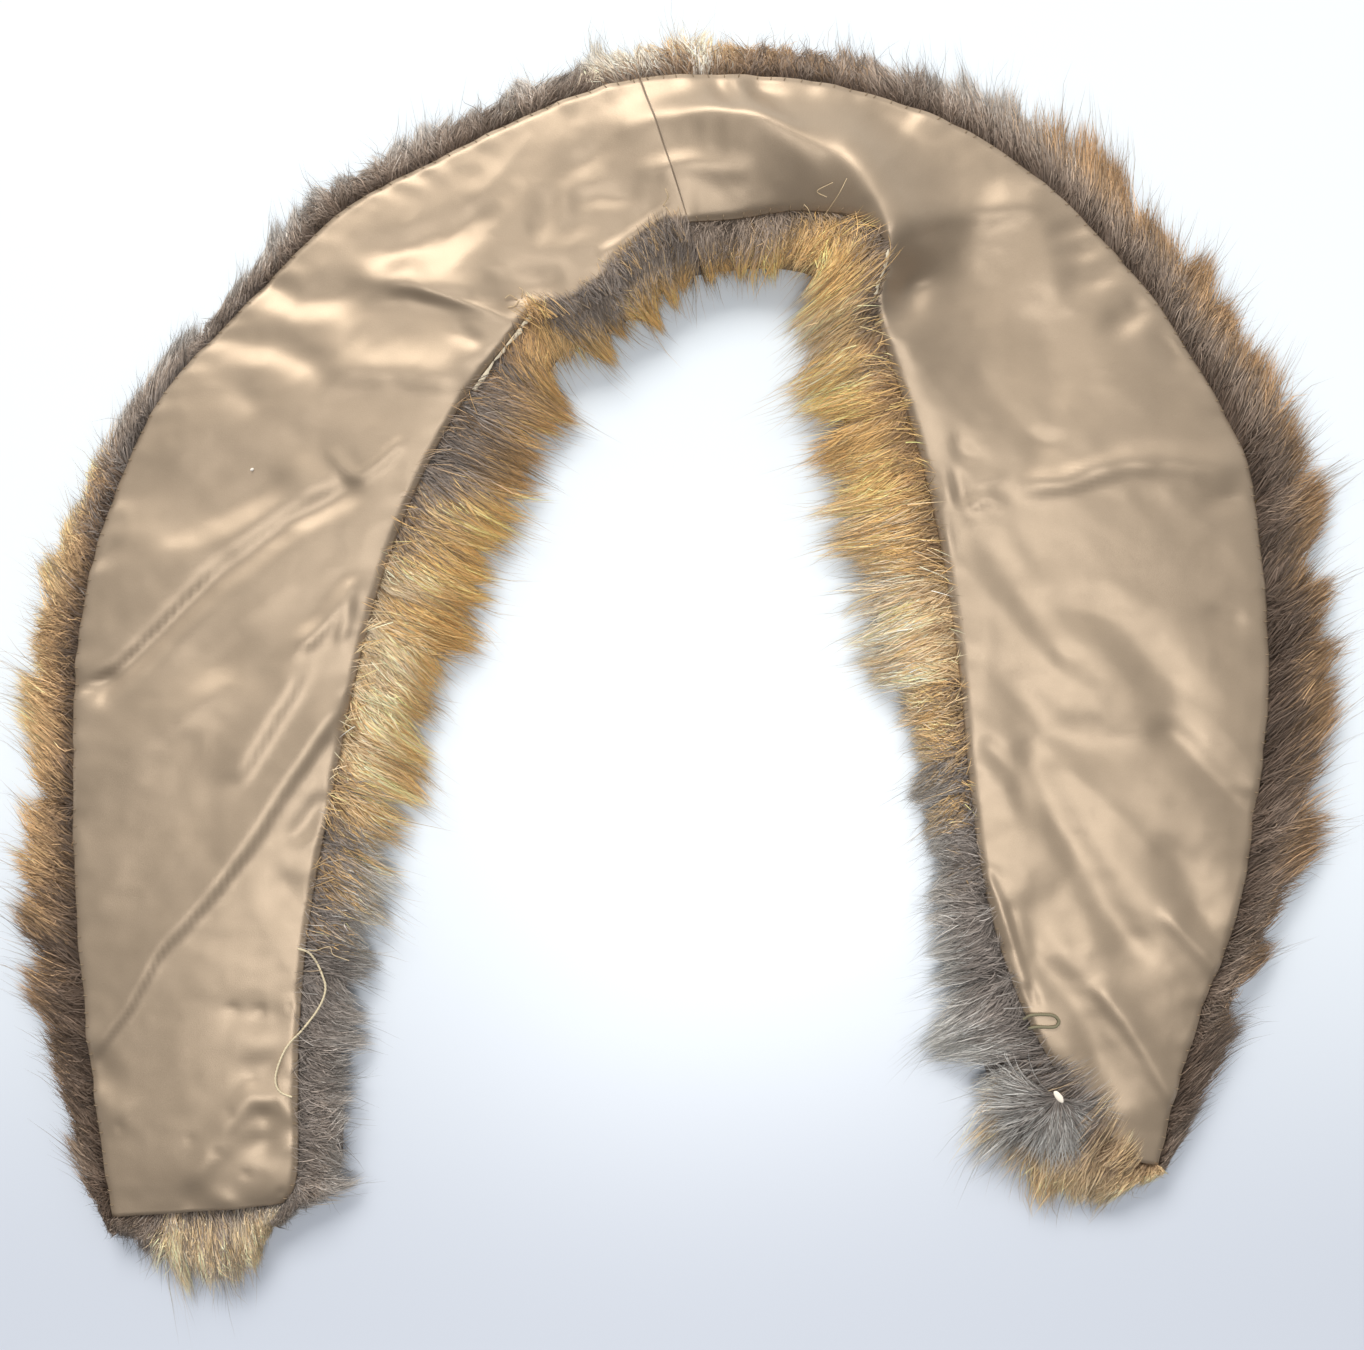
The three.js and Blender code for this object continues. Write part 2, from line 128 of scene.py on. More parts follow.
# Folds of the lining, each along three picture places, then its half width and height in
# millimetres and how much wider it falls on one side.
folds = np.array([
    (264, 286, 300, 301, 379, 292, 8, -2, 0),
    (357, 296, 410, 284, 475, 292, 8, 2, 0.3),
    (497, 283, 525, 287, 557, 283, 9, -2.8, 0),
    (379, 257, 420, 251, 484, 216, 8, -2.2, 0),
    (219, 343, 275, 345, 331, 372, 8, -1.6, 0),
    (331, 372, 400, 372, 459, 381, 9, 1.9, 0.2),
    (232, 382, 245, 395, 258, 407, 8, -1.5, 0),
    (283, 436, 318, 450, 347, 477, 9, -1.4, 0),
    (331, 452, 345, 468, 357, 481, 3, 0.8, 0),
    (357, 481, 380, 464, 404, 442, 3, 0.8, 0),
    (357, 487, 290, 524, 213, 583, 6, -2.4, 0),
    (213, 583, 156, 640, 95, 697, 5, -2.4, 0.2),
    (124, 500, 190, 492, 277, 461, 18, -2.6, 0),
    (165, 535, 225, 514, 290, 481, 9, -1.6, 0),
    (70, 692, 92, 683, 111, 675, 3, -1.3, 0),
    (90, 566, 104, 555, 117, 544, 4, -1.2, 0),
    (305, 645, 331, 618, 357, 583, 4, 1.4, 0),
    (341, 640, 348, 622, 352, 600, 3, 1, 0),
    (296, 672, 306, 658, 315, 646, 4, -1, 0),
    (190, 668, 220, 657, 245, 650, 12, -2, 0),
    (310, 640, 286, 692, 236, 776, 7, 2.2, -0.3),
    (340, 700, 290, 772, 240, 850, 7, 2.4, -0.4),
    (240, 850, 206, 895, 160, 945, 6, 2.2, -0.4),
    (160, 945, 126, 1005, 85, 1060, 5, 2, -0.4),
    (70, 785, 150, 738, 250, 690, 14, 2, 0),
    (324, 792, 305, 826, 290, 841, 5, -1.6, 0),
    (280, 880, 290, 895, 300, 905, 8, -1.4, 0),
    (225, 1012, 255, 1016, 286, 1017, 8, -1.3, 0),
    (244, 1071, 260, 1068, 276, 1061, 7, -1.4, 0),
    (292, 1108, 251, 1098, 222, 1130, 6, 1.8, 0),
    (222, 1130, 205, 1160, 192, 1190, 7, 1.6, 0),
    (259, 1121, 267, 1114, 276, 1108, 5, -2, 0),
    (255, 1150, 262, 1146, 272, 1140, 6, -2, 0),
    (194, 1186, 190, 1198, 186, 1212, 5, -1.6, 0),
    (213, 1197, 226, 1206, 240, 1218, 5, 1.4, 0),
    (80, 1052, 96, 1066, 106, 1078, 6, -1.8, 0),
    (85, 1100, 110, 1110, 130, 1108, 8, 1.4, 0),
    (893, 262, 903, 287, 897, 316, 11, -9, 0),
    (895, 236, 925, 224, 965, 214, 8, 2, 0.2),
    (965, 214, 1000, 211, 1040, 203, 8, 1.8, 0.2),
    (930, 250, 975, 300, 1027, 373, 22, -4.2, 0),
    (1043, 309, 1060, 370, 1075, 437, 13, -2.4, 0),
    (1037, 215, 1046, 250, 1056, 290, 9, 1.3, 0),
    (1050, 238, 1070, 230, 1090, 222, 5, -1.2, 0),
    (1059, 254, 1078, 252, 1096, 248, 5, -1.2, 0),
    (1066, 281, 1090, 282, 1112, 276, 6, -1, 0),
    (1110, 331, 1126, 320, 1142, 306, 6, -1.8, 0),
    (1155, 336, 1168, 350, 1182, 368, 6, -1.5, 0),
    (973, 373, 999, 405, 1030, 440, 6, -1.2, 0),
    (1030, 440, 1042, 446, 1056, 447, 6, -1.6, 0),
    (1059, 402, 1075, 428, 1092, 452, 8, 1.8, 0),
    (1024, 486, 1062, 484, 1107, 468, 6, 2, 0),
    (1107, 468, 1155, 462, 1235, 470, 8, 2.4, 0),
    (1203, 505, 1220, 504, 1238, 500, 5, -1.2, 0),
    (954, 470, 960, 496, 970, 519, 3, -0.9, 0),
    (962, 512, 984, 497, 999, 504, 3, 0.9, 0),
    (973, 486, 986, 483, 1000, 478, 3, 0.8, 0),
    (944, 515, 946, 535, 949, 558, 3, 0.7, 0),
    (940, 470, 946, 490, 948, 505, 3, 0.7, 0),
    (955, 440, 962, 455, 975, 462, 4, -1.2, 0),
    (979, 536, 999, 565, 1056, 648, 7, -1.1, 0),
    (1024, 533, 1033, 553, 1043, 574, 8, -1, 0),
    (1050, 604, 1091, 612, 1125, 630, 9, -1.6, 0),
    (1209, 614, 1226, 620, 1246, 630, 6, -1.4, 0),
    (1056, 648, 1062, 655, 1070, 664, 5, -1.2, 0),
    (1005, 670, 1045, 728, 1110, 750, 13, -2.6, 0),
    (1110, 750, 1145, 749, 1180, 728, 13, -2, 0),
    (1130, 636, 1160, 676, 1185, 702, 11, -2.4, 0),
    (1164, 724, 1195, 760, 1258, 826, 7, -1.9, 0),
    (985, 742, 1015, 775, 1030, 816, 5, -1.4, 0),
    (1024, 750, 1053, 812, 1080, 862, 8, -2.4, 0.2),
    (1080, 862, 1110, 912, 1140, 960, 10, -2.6, 0),
    (1165, 843, 1190, 890, 1208, 928, 9, -2, 0),
    (1165, 910, 1195, 944, 1224, 974, 5, 1.8, 0),
    (1050, 880, 1062, 912, 1076, 940, 8, -1.6, 0),
    (1032, 900, 1038, 960, 1080, 1006, 8, -2, 0),
    (1097, 985, 1126, 1021, 1176, 1100, 5, 1.8, 0.2),
    (1082, 1010, 1104, 1070, 1116, 1108, 8, -1.8, 0),
    (985, 872, 1004, 915, 1028, 985, 2.5, 1.1, 0),
    (1008, 905, 1018, 948, 1036, 1006, 2.5, -0.8, 0),
    (733, 80, 738, 92, 744, 106, 4, 1.6, 0),
    (715, 84, 722, 96, 734, 112, 5, -2, 0),
    (690, 92, 740, 98, 790, 118, 8, 1.2, 0),
    (748, 88, 770, 104, 795, 134, 6, -2, 0),
    (795, 134, 822, 160, 842, 190, 7, -1.8, 0),
    (820, 105, 850, 130, 868, 160, 9, 1.8, 0),
    (868, 108, 890, 122, 915, 148, 9, -1.6, 0),
    (640, 176, 690, 172, 745, 178, 5, 0.9, 0),
    (650, 150, 690, 146, 720, 150, 7, -1, 0),
    (610, 128, 592, 160, 560, 182, 9, -1.6, 0),
    (575, 205, 600, 198, 635, 200, 5, -1.1, 0),
    (600, 258, 625, 242, 668, 212, 3, 0.9, 0),
    (535, 240, 545, 220, 552, 198, 6, -1.4, 0),
    (560, 236, 580, 225, 600, 222, 7, -1.2, 0),
    (520, 300, 510, 306, 502, 304, 4, -1.2, 0),
    (455, 330, 470, 340, 480, 344, 4, -1.2, 0),
], float)


# Small pricks that pins left near the straight end, by their picture places
dents = {
    "depth": 0.6, "halfWidth": 1.8,
    "places": [(232, 1008), (260, 1010), (290, 1007), (230, 1112), (275, 1103), (190, 1140),
               (217, 1152), (245, 1175), (280, 1195), (252, 1078), (118, 1128)],
}


def mix(a, b, share):
    return a + (b - a) * share


def fromPicture(x, y):
    # a picture place in the tables' millimetres
    across = picture["pixel"] * (np.asarray(x, float) - picture["middleX"])
    up = picture["pixel"] * (picture["middleY"] - np.asarray(y, float))
    return across, up


def rowsAt(places, table=sections, first=0):
    # a smooth curve through a table's rows, in the part's frame
    steps = np.asarray(places, float) - first
    last = len(table) - 1
    index = np.clip(np.floor(steps).astype(int), 0, last - 1)
    share = (steps - index)[:, None]
    a, b, c, d = (table[np.clip(index + step, 0, last)] for step in (-1, 0, 1, 2))
    bend = share ** 2 * (2 * a - 5 * b + 4 * c - d) + share ** 3 * (3 * b - a - 3 * c + d)
    values = b + 0.5 * (share * (c - a) + bend)
    rows = {name: values[:, i].copy() for i, name in enumerate(columns)}
    for name in ("inner", "outer", "innerTip", "outerTip"):
        rows[name + "X"] -= middle["x"]
        rows[name + "Y"] -= middle["y"]
    return rows


def lengthAlong(x, y):
    return np.concatenate([[0], np.cumsum(np.hypot(np.diff(x), np.diff(y)))])


def evenPlaces(firstPlace, endPlace, step, table=sections, first=0):
    # places about one step apart along the outer edge
    fine = np.linspace(firstPlace, endPlace, 4000)
    rows = rowsAt(fine, table, first)
    along = lengthAlong(rows["outerX"], rows["outerY"])
    count = max(2, int(round(along[-1] / step)))
    return np.interp(np.linspace(0, along[-1], count + 1), along, fine)


def chance(number, seed):
    # an even random value of 0 to 1 for each whole number
    value = np.sin(number * 12.9898 + seed * 78.233) * 43758.5453
    return value - np.floor(value)


def softWave(values, seed):
    # a soft random wave of -1 to 1 along a line
    whole = np.floor(values)
    share = values - whole
    share = share * share * (3 - 2 * share)
    return 2 * mix(chance(whole, seed), chance(whole + 1, seed), share) - 1


def softField(x, y, seed):
    # a soft random field of -1 to 1 over the plan
    left, low = np.floor(x), np.floor(y)
    across, up = x - left, y - low
    across, up = across * across * (3 - 2 * across), up * up * (3 - 2 * up)
    corner = lambda a, b: chance(a + 57 * b, seed)
    bottom = mix(corner(left, low), corner(left + 1, low), across)
    top = mix(corner(left, low + 1), corner(left + 1, low + 1), across)
    return 2 * mix(bottom, top, up) - 1


def nearSegment(x, y, start, end, openStart, openEnd):
    # the distance from a segment, the side of it and how far along it, past an open end too
    length = np.hypot(end[0] - start[0], end[1] - start[1])
    aheadX, aheadY = (end[0] - start[0]) / length, (end[1] - start[1]) / length
    along = (x - start[0]) * aheadX + (y - start[1]) * aheadY
    held = np.clip(along, -1e3 if openStart else 0, 1e3 if openEnd else length)
    distance = np.hypot(x - start[0] - held * aheadX, y - start[1] - held * aheadY)
    side = aheadX * (y - start[1]) - aheadY * (x - start[0])
    return distance, side, along, length


def foldHeight(x, y):
    # x and y are in the tables' own frame, and a fold fades out softly past its two ends
    height = np.zeros_like(x)
    for row in folds:
        one, two, three = (fromPicture(row[i], row[i + 1]) for i in (0, 2, 4))
        halfWidth, lift, skew = row[6:]
        first, firstSide, firstAlong, firstLength = nearSegment(x, y, one, two, True, False)
        second, secondSide, secondAlong, secondLength = nearSegment(x, y, two, three, False, True)
        nearFirst = first < second
        distance = np.where(nearFirst, first, second)
        side = np.where(nearFirst, firstSide, secondSide)
        fromStart = np.where(nearFirst, firstAlong, firstLength + np.maximum(secondAlong, 0))
        toEnd = firstLength + secondLength - fromStart
        soft = 0.9 * halfWidth
        fade = 0.25 * (1 + np.tanh(fromStart / soft)) * (1 + np.tanh(toEnd / soft))
        spread = halfWidth * (1 + skew * np.tanh(side / halfWidth))
        height += lift * fade * np.exp(-(distance / spread) ** 2)
    return lining["depth"] * height - dentDepth(x, y)


def dentDepth(x, y):
    depth = np.zeros_like(x)
    for placeX, placeY in dents["places"]:
        acrossX, upY = fromPicture(placeX, placeY)
        depth += dents["depth"] * np.exp(-((x - acrossX) ** 2 + (y - upY) ** 2) / dents["halfWidth"] ** 2)
    return depth


def neckLift(row, share, width):
    innerLift = np.maximum(0, row["innerHeight"] - restHeight)
    crest = np.maximum(0, row["crestShare"])
    climb = share / np.maximum(crest, 1e-6)
    rise = mix(innerLift, row["crestLift"], np.minimum(1, climb))
    rise = rise + np.maximum(2, row["crestLift"] - innerLift) * np.maximum(0, climb - 1)
    fall = np.minimum(lipWidth, 0.5 * (1 - crest) * width)
    past = row["crestLift"] * np.exp(-(np.maximum(0, share - crest) * width / fall) ** 2)
    soft = np.maximum(0.05, crestSoftness * np.minimum(1, crest / 0.2))
    return -soft * np.log(np.exp(-rise / soft) + np.exp(-past / soft))


def topGrid(rows, shares):
    # points on the band's upper face without its folds, a row for each place
    row = {name: values[:, None] for name, values in rows.items()}
    share = shares[None, :]
    width = np.hypot(row["outerX"] - row["innerX"], row["outerY"] - row["innerY"])
    x = mix(row["innerX"], row["outerX"], share)
    y = mix(row["innerY"], row["outerY"], share)
    rest = mix(np.minimum(row["innerHeight"], restHeight), row["outerHeight"], share)
    puff = row["puff"] * np.sin(np.pi * share) ** 0.7
    return x, y, rest + neckLift(row, share, width) + puff, width


# Meshes and materials
def link(piece):
    bpy.context.scene.collection.objects.link(piece)
    return piece


def meshPiece(name, points, faces):
    # points in millimetres, faces a list of arrays that each hold one kind of polygon
    mesh = bpy.data.meshes.new(name)
    mesh.vertices.add(len(points))
    mesh.vertices.foreach_set("co", (points * metre).astype(np.float32).ravel())
    corners = np.concatenate([group.ravel() for group in faces])
    counts = np.concatenate([np.full(len(group), group.shape[1]) for group in faces])
    mesh.loops.add(len(corners))
    mesh.loops.foreach_set("vertex_index", corners.astype(np.int32))
    mesh.polygons.add(len(counts))
    mesh.polygons.foreach_set("loop_start", np.concatenate([[0], np.cumsum(counts)[:-1]]).astype(np.int32))
    mesh.polygons.foreach_set("use_smooth", np.ones(len(counts), bool))
    mesh.update(calc_edges=True)
    return link(bpy.data.objects.new(name, mesh))


def flatWalls(piece, smoothCount):
    # the faces after the first ones keep hard edges, so that they don't shade the others
    smooth = np.zeros(len(piece.data.polygons), bool)
    smooth[:smoothCount] = True
    piece.data.polygons.foreach_set("use_smooth", smooth)
    piece.data.update()


def setColours(piece, name, colours):
    layer = piece.data.color_attributes.new(name=name, type="FLOAT_COLOR", domain="POINT")
    full = np.concatenate([colours, np.ones((len(colours), 1))], axis=1)
    layer.data.foreach_set("color", full.astype(np.float32).ravel())


def setMap(piece, name, flat):
    layer = piece.data.uv_layers.new(name=name)
    corners = np.empty(len(piece.data.loops), np.int32)
    piece.data.loops.foreach_get("vertex_index", corners)
    layer.data.foreach_set("uv", flat[corners].astype(np.float32).ravel())


def shellFaces(count, across):
    # a thin closed shell: the upper grid, then the lower one, then walls round the edge
    size = count * across
    i, j = np.meshgrid(np.arange(count - 1), np.arange(across - 1), indexing="ij")
    a = (i * across + j).ravel()
    upper = np.stack([a, a + across, a + across + 1, a + 1], axis=1)
    lower = upper[:, ::-1] + size
    r = np.arange(count - 1) * across
    c = np.arange(across - 1)
    edge = r + across - 1
    end = c + (count - 1) * across
    walls = [
        np.stack([r + across, r, r + size, r + across + size], axis=1),
        np.stack([edge, edge + across, edge + across + size, edge + size], axis=1),
        np.stack([c, c + 1, c + 1 + size, c + size], axis=1),
        np.stack([end + 1, end, end + size, end + 1 + size], axis=1),
    ]
    return [np.vstack([upper, lower] + walls)]


def signedVolume(points, faces):
    total = 0.0
    for group in faces:
        for k in range(1, group.shape[1] - 1):
            a, b, c = points[group[:, 0]], points[group[:, k]], points[group[:, k + 1]]
            total += float(np.sum(a * np.cross(b, c)))
    return total / 6


def loftFaces(rings):
    # a closed body through rings of points, its ends closed round their middles
    count, around = rings.shape[:2]
    points = np.vstack([rings.reshape(-1, 3), rings[[0, -1]].mean(axis=1)])
    i, j = np.meshgrid(np.arange(count - 1), np.arange(around), indexing="ij")
    n = (j + 1) % around
    quads = np.stack([i * around + j, i * around + n, (i + 1) * around + n, (i + 1) * around + j], axis=-1)
    j = np.arange(around)
    n = (j + 1) % around
    last = (count - 1) * around
    start = np.stack([np.full(around, count * around), n, j], axis=1)
    end = np.stack([np.full(around, count * around + 1), last + j, last + n], axis=1)
    faces = [quads.reshape(-1, 4), np.vstack([start, end])]
    if signedVolume(points, faces) < 0:
        faces = [group[:, ::-1] for group in faces]
    return points, faces


def loft(name, *bodies):
    # one piece from one or more sets of rings
    points, quads, triangles, offset = [], [], [], 0
    for rings in bodies:
        own, faces = loftFaces(rings)
        points.append(own)
        quads.append(faces[0] + offset)
        triangles.append(faces[1] + offset)
        offset += len(own)
    return meshPiece(name, np.vstack(points), [np.vstack(quads), np.vstack(triangles)])


def linear(colour):
    # a colour of 0 to 255 as it is seen, in the renderer's own scale
    seen = np.asarray(colour, float) / 255
    return np.where(seen <= 0.04045, seen / 12.92, ((seen + 0.055) / 1.055) ** 2.4)


def newMaterial(name, colour, roughness, specular=0.5):
    material = bpy.data.materials.new(name)
    material.use_nodes = True
    shader = material.node_tree.nodes["Principled BSDF"]
    shader.inputs["Base Color"].default_value = (*linear(colour), 1)
    shader.inputs["Roughness"].default_value = roughness
    shader.inputs["Specular IOR Level"].default_value = specular
    return material, material.node_tree, shader


def dress(piece, material, slotName, *nodes):
    piece.data.materials.append(material)
    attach(piece, "root")
    if nodes:
        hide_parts(*nodes)


def smoothRoute(points, steps):
    # even points along a smooth curve through a route written in the tables' frame
    points = np.array(points, float) - (middle["x"], middle["y"], 0)
    ends = np.vstack([2 * points[0] - points[1], points, 2 * points[-1] - points[-2]])
    share = np.linspace(0, 1, 24, endpoint=False)[:, None]
    parts = []
    for i in range(1, len(ends) - 2):
        a, b, c, d = ends[i - 1:i + 3]
        bend = share ** 2 * (2 * a - 5 * b + 4 * c - d) + share ** 3 * (3 * b - a - 3 * c + d)
        parts.append(b + 0.5 * (share * (c - a) + bend))
    fine = np.vstack(parts + [points[-1:]])
    along = np.concatenate([[0], np.cumsum(np.linalg.norm(np.diff(fine, axis=0), axis=1))])
    spots = np.linspace(0, along[-1], steps + 1)
    return np.stack([np.interp(spots, along, fine[:, k]) for k in range(3)], axis=1), along[-1]


def ringsAlong(route, radius):
    # rings round a route, with a radius for each of their points
    ahead = np.gradient(route, axis=0)
    ahead /= np.linalg.norm(ahead, axis=1)[:, None]
    across = np.cross(ahead, (0, 0, 1.0))
    across /= np.linalg.norm(across, axis=1)[:, None]
    above = np.cross(across, ahead)
    sides = radius.shape[1]
    angle = 2 * np.pi * np.arange(sides) / sides
    out = across[:, None] * np.cos(angle)[None, :, None] + above[:, None] * np.sin(angle)[None, :, None]
    return route[:, None] + out * radius[:, :, None]


def twisted(steps, sides, radius, length, pitch, depth, strands, seed):
    # the radius of a yarn or winding whose strands turn once in each pitch
    angle = 2 * np.pi * np.arange(sides) / sides
    turn = 2 * np.pi * np.linspace(0, length, steps + 1) / pitch
    bumps = 1 + depth * np.cos(strands * (angle[None, :] - turn[:, None]))
    return radius * bumps * (1 + 0.05 * softWave(np.linspace(0, length / 2, steps + 1), seed)[:, None])


# Thread loop at the left front, in which the hook is caught
threadLoop = {"width": 1.0, "sides": 8, "steps": 380, "pitch": 3.2, "depth": 0.17, "colour": (222, 206, 172)}
threadRoute = [
    (-173, -123, 21.4), (-168, -125, 21), (-164.5, -130, 20), (-162, -135.5, 20.3), (-160.7, -140.5, 20),
    (-161.6, -145.5, 20), (-164.3, -151, 19.9), (-168.3, -156.5, 20), (-172, -161, 21), (-176, -165, 21.3),
    (-179, -169.5, 21.6), (-181.6, -176, 22), (-182.7, -181, 22.1), (-182.2, -185, 22), (-180, -188, 21.7),
    (-175.5, -190, 21.1),
]


def makeThreadLoop():
    route, length = smoothRoute(threadRoute, threadLoop["steps"])
    radius = twisted(threadLoop["steps"], threadLoop["sides"], threadLoop["width"] / 2, length,
                     threadLoop["pitch"], threadLoop["depth"], 2, 3)
    piece = loft("threadLoop", ringsAlong(route, radius))
    material, _, _ = newMaterial("loopThread", threadLoop["colour"], 0.7, 0.3)
    dress(piece, material, "loop_thread", "thread_loop")
    print("stage: thread loop,", round(float(length), 1), "mm long")


makeThreadLoop()


# Floor and light: a white table by a window beyond the neck
# near and far are the colours at the two ends of a painted falloff of light over the table, from nearY to
# farY in metres: painted shade near, painted light far
floor = {"size": 6.0, "drop": 0.0004, "near": (206, 211, 220), "far": (240, 246, 250),
         "nearY": -0.3, "farY": 0.02, "roughness": 0.3}
light = {
    "window": 310, "windowSize": (3.6, 2.2), "windowPlace": (-1.4, 4.6, 3.7),
    "lamp": 21, "lampSize": (0.8, 0.6), "lampPlace": (0.1, -0.42, 2.2),
    "windowColour": (1.0, 0.985, 0.955), "lampColour": (0.98, 0.99, 1.0),
    "dim": (0.16, 0.165, 0.18), "bright": (0.8, 0.83, 0.88), "sky": 0.7,
}


def areaLight(name, place, size, power, colour):
    data = bpy.data.lights.new(name, "AREA")
    data.shape = "RECTANGLE"
    data.size, data.size_y = size
    data.energy = power
    data.color = colour
    lamp = link(bpy.data.objects.new(name, data))
    lamp.location = place
    lamp.rotation_euler = (-Vector(place)).to_track_quat("-Z", "Y").to_euler()


def tableWithPaintedFalloff():
    # a pale table whose colour is painted darker towards -Y and brighter towards the window, a painted
    # falloff of light
    material, tree, shader = newMaterial("paleTableWithPaintedFalloff", floor["far"], floor["roughness"], 0.4)
    places = tree.nodes.new("ShaderNodeTexCoord")
    parts = tree.nodes.new("ShaderNodeSeparateXYZ")
    share = tree.nodes.new("ShaderNodeMapRange")
    share.interpolation_type = "SMOOTHSTEP"
    share.inputs["From Min"].default_value = floor["nearY"]
    share.inputs["From Max"].default_value = floor["farY"]
    paintedFalloff = tree.nodes.new("ShaderNodeMix")
    paintedFalloff.data_type = "RGBA"
    paintedFalloff.inputs["A"].default_value = (*linear(floor["near"]), 1)
    paintedFalloff.inputs["B"].default_value = (*linear(floor["far"]), 1)
    tree.links.new(places.outputs["Object"], parts.inputs["Vector"])
    tree.links.new(parts.outputs["Y"], share.inputs["Value"])
    tree.links.new(share.outputs["Result"], paintedFalloff.inputs["Factor"])
    tree.links.new(paintedFalloff.outputs["Result"], shader.inputs["Base Color"])
    return material


def makeStudio():
    bpy.ops.mesh.primitive_plane_add(size=floor["size"], location=(0, 0, -floor["drop"]))
    table = bpy.context.object
    table.name = "floor"
    table.data.materials.append(tableWithPaintedFalloff())
    table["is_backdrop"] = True
    areaLight("window", light["windowPlace"], light["windowSize"], light["window"], light["windowColour"])
    areaLight("lamp", light["lampPlace"], light["lampSize"], light["lamp"], light["lampColour"])
    makeSky()
    bpy.context.scene.view_settings.view_transform = "Standard"


def makeSky():
    # a room that is bright on the window's side and dim on the other
    world = bpy.data.worlds.new("studio")
    world.use_nodes = True
    tree = world.node_tree
    places = tree.nodes.new("ShaderNodeTexCoord")
    parts = tree.nodes.new("ShaderNodeSeparateXYZ")
    ramp = tree.nodes.new("ShaderNodeValToRGB")
    ramp.color_ramp.elements[0].position = 0.36
    ramp.color_ramp.elements[0].color = (*light["dim"], 1)
    ramp.color_ramp.elements[1].position = 0.85
    ramp.color_ramp.elements[1].color = (*light["bright"], 1)
    half = tree.nodes.new("ShaderNodeMapRange")
    half.inputs["From Min"].default_value = -1
    tree.links.new(places.outputs["Generated"], parts.inputs["Vector"])
    tree.links.new(parts.outputs["Y"], half.inputs["Value"])
    tree.links.new(half.outputs["Result"], ramp.inputs["Fac"])
    background = tree.nodes["Background"]
    tree.links.new(ramp.outputs["Color"], background.inputs["Color"])
    background.inputs["Strength"].default_value = light["sky"]
    bpy.context.scene.world = world


makeStudio()
print("stage: floor and light")


# Satin lining, two halves felled to the fur
lining = {
    "alongStep": 2.1, "acrossCount": 58, "thickness": 1.3, "hemDrop": 1.2, "hemWidth": 1.8,
    "drape": 0.5, "drapePitch": 15, "drapeLength": 70,
    "gather": 0.65, "gatherPitch": 7, "ripple": 0.32, "crinkle": 0.1, "edgeWave": 0.4, "depth": 1.3,
    "seamGap": 0.02, "seamDip": 0.07, "seamWidth": 0.7, "seamRow": 0.02,
    "colour": (198, 176, 151), "dark": (156, 137, 114), "roughness": 0.44, "gloss": 0.52, "specular": 0.4,
    "weave": 0.6, "threads": 1500,
}
liningTops = []


def acrossShares(count):
    # places across the band, closer together at its edges
    even = np.linspace(-1, 1, count)
    shares = even * (1.35 - 0.35 * even ** 2)
    return (shares + 1) / 2


def liningSurface(rows, shares, seam):
    x, y, z, width = topGrid(rows, shares)
    z = z + foldHeight(x + middle["x"], y + middle["y"])
    fromInner, fromOuter = shares[None, :] * width, (1 - shares[None, :]) * width
    fromEdge = np.minimum(fromInner, fromOuter)
    outerLine = lengthAlong(rows["outerX"], rows["outerY"])
    innerLine = lengthAlong(rows["innerX"], rows["innerY"])
    outerLine, innerLine = ((line - line[seam])[:, None] for line in (outerLine, innerLine))
    gathers = softWave(outerLine / lining["gatherPitch"], 5) * np.exp(-(fromOuter / 9) ** 1.5)
    gathers = gathers + softWave(innerLine / lining["gatherPitch"], 9) * np.exp(-(fromInner / 8) ** 1.5)
    ripple = softField(x / 17, y / 17, 1) + 0.4 * softField(x / 7, y / 7, 2)
    z = z + lining["gather"] * gathers + lining["ripple"] * ripple * np.minimum(1, fromEdge / 12)
    z = z + lining["crinkle"] * (1 - 2 * np.abs(softField(x / 9 + 40, y / 9, 3)))
    z = z + lining["drape"] * drapeAt(x, y) * np.minimum(1, fromEdge / 10)
    z = z - lining["hemDrop"] * np.exp(-(fromEdge / lining["hemWidth"]) ** 2)
    wave = lining["edgeWave"] * softWave(outerLine / 8, 21) * np.exp(-fromOuter / 5)
    x = x + wave * (x - x[:, :1]) / width
    y = y + wave * (y - y[:, :1]) / width
    return x, y, z


def drapeAt(x, y):
    # faint long folds, which rise to the right on the left front and fall to it on the right one
    turn = np.where(x < 0, 1, -1)
    across, ahead = (y - turn * x) / 1.4, (x + turn * y) / 1.4
    ridges = np.abs(softField(across / lining["drapePitch"] + 9, ahead / lining["drapeLength"], 4))
    return (0.5 - ridges) * np.clip(np.abs(x) / 60, 0, 1)


def makeLiningHalf(name, firstPlace, endPlace, seam, node):
    # seam is the index of the row that lies at the centre back
    places = evenPlaces(firstPlace, endPlace, lining["alongStep"])
    beside = seamPlace + (lining["seamRow"] if seam == 0 else -lining["seamRow"])
    places = np.sort(np.append(places, beside))
    shares = acrossShares(lining["acrossCount"])
    x, y, z = liningSurface(rowsAt(places), shares, seam)
    fromSeam = np.hypot(x - x[seam], y - y[seam])
    z = z - lining["seamDip"] * np.exp(-(fromSeam / lining["seamWidth"]) ** 2)
    side = np.array([x[seam, -1] - x[seam, 0], y[seam, -1] - y[seam, 0]])
    side /= np.hypot(*side)
    shift = lining["seamGap"] / 2 * (1 if seam == 0 else -1)
    x[seam] += side[1] * shift
    y[seam] -= side[0] * shift
    top = np.stack([x, y, z], axis=2)
    liningTops.append(top.reshape(-1, 3))
    points = np.vstack([top.reshape(-1, 3), top.reshape(-1, 3) - (0, 0, lining["thickness"])])
    piece = meshPiece(name, points, shellFaces(*x.shape))
    flatWalls(piece, 2 * (x.shape[0] - 1) * (x.shape[1] - 1))
    setMap(piece, "clothMap", np.tile(clothPlaces(x, y), (2, 1)) * metre)
    dress(piece, satin, "satin", node)


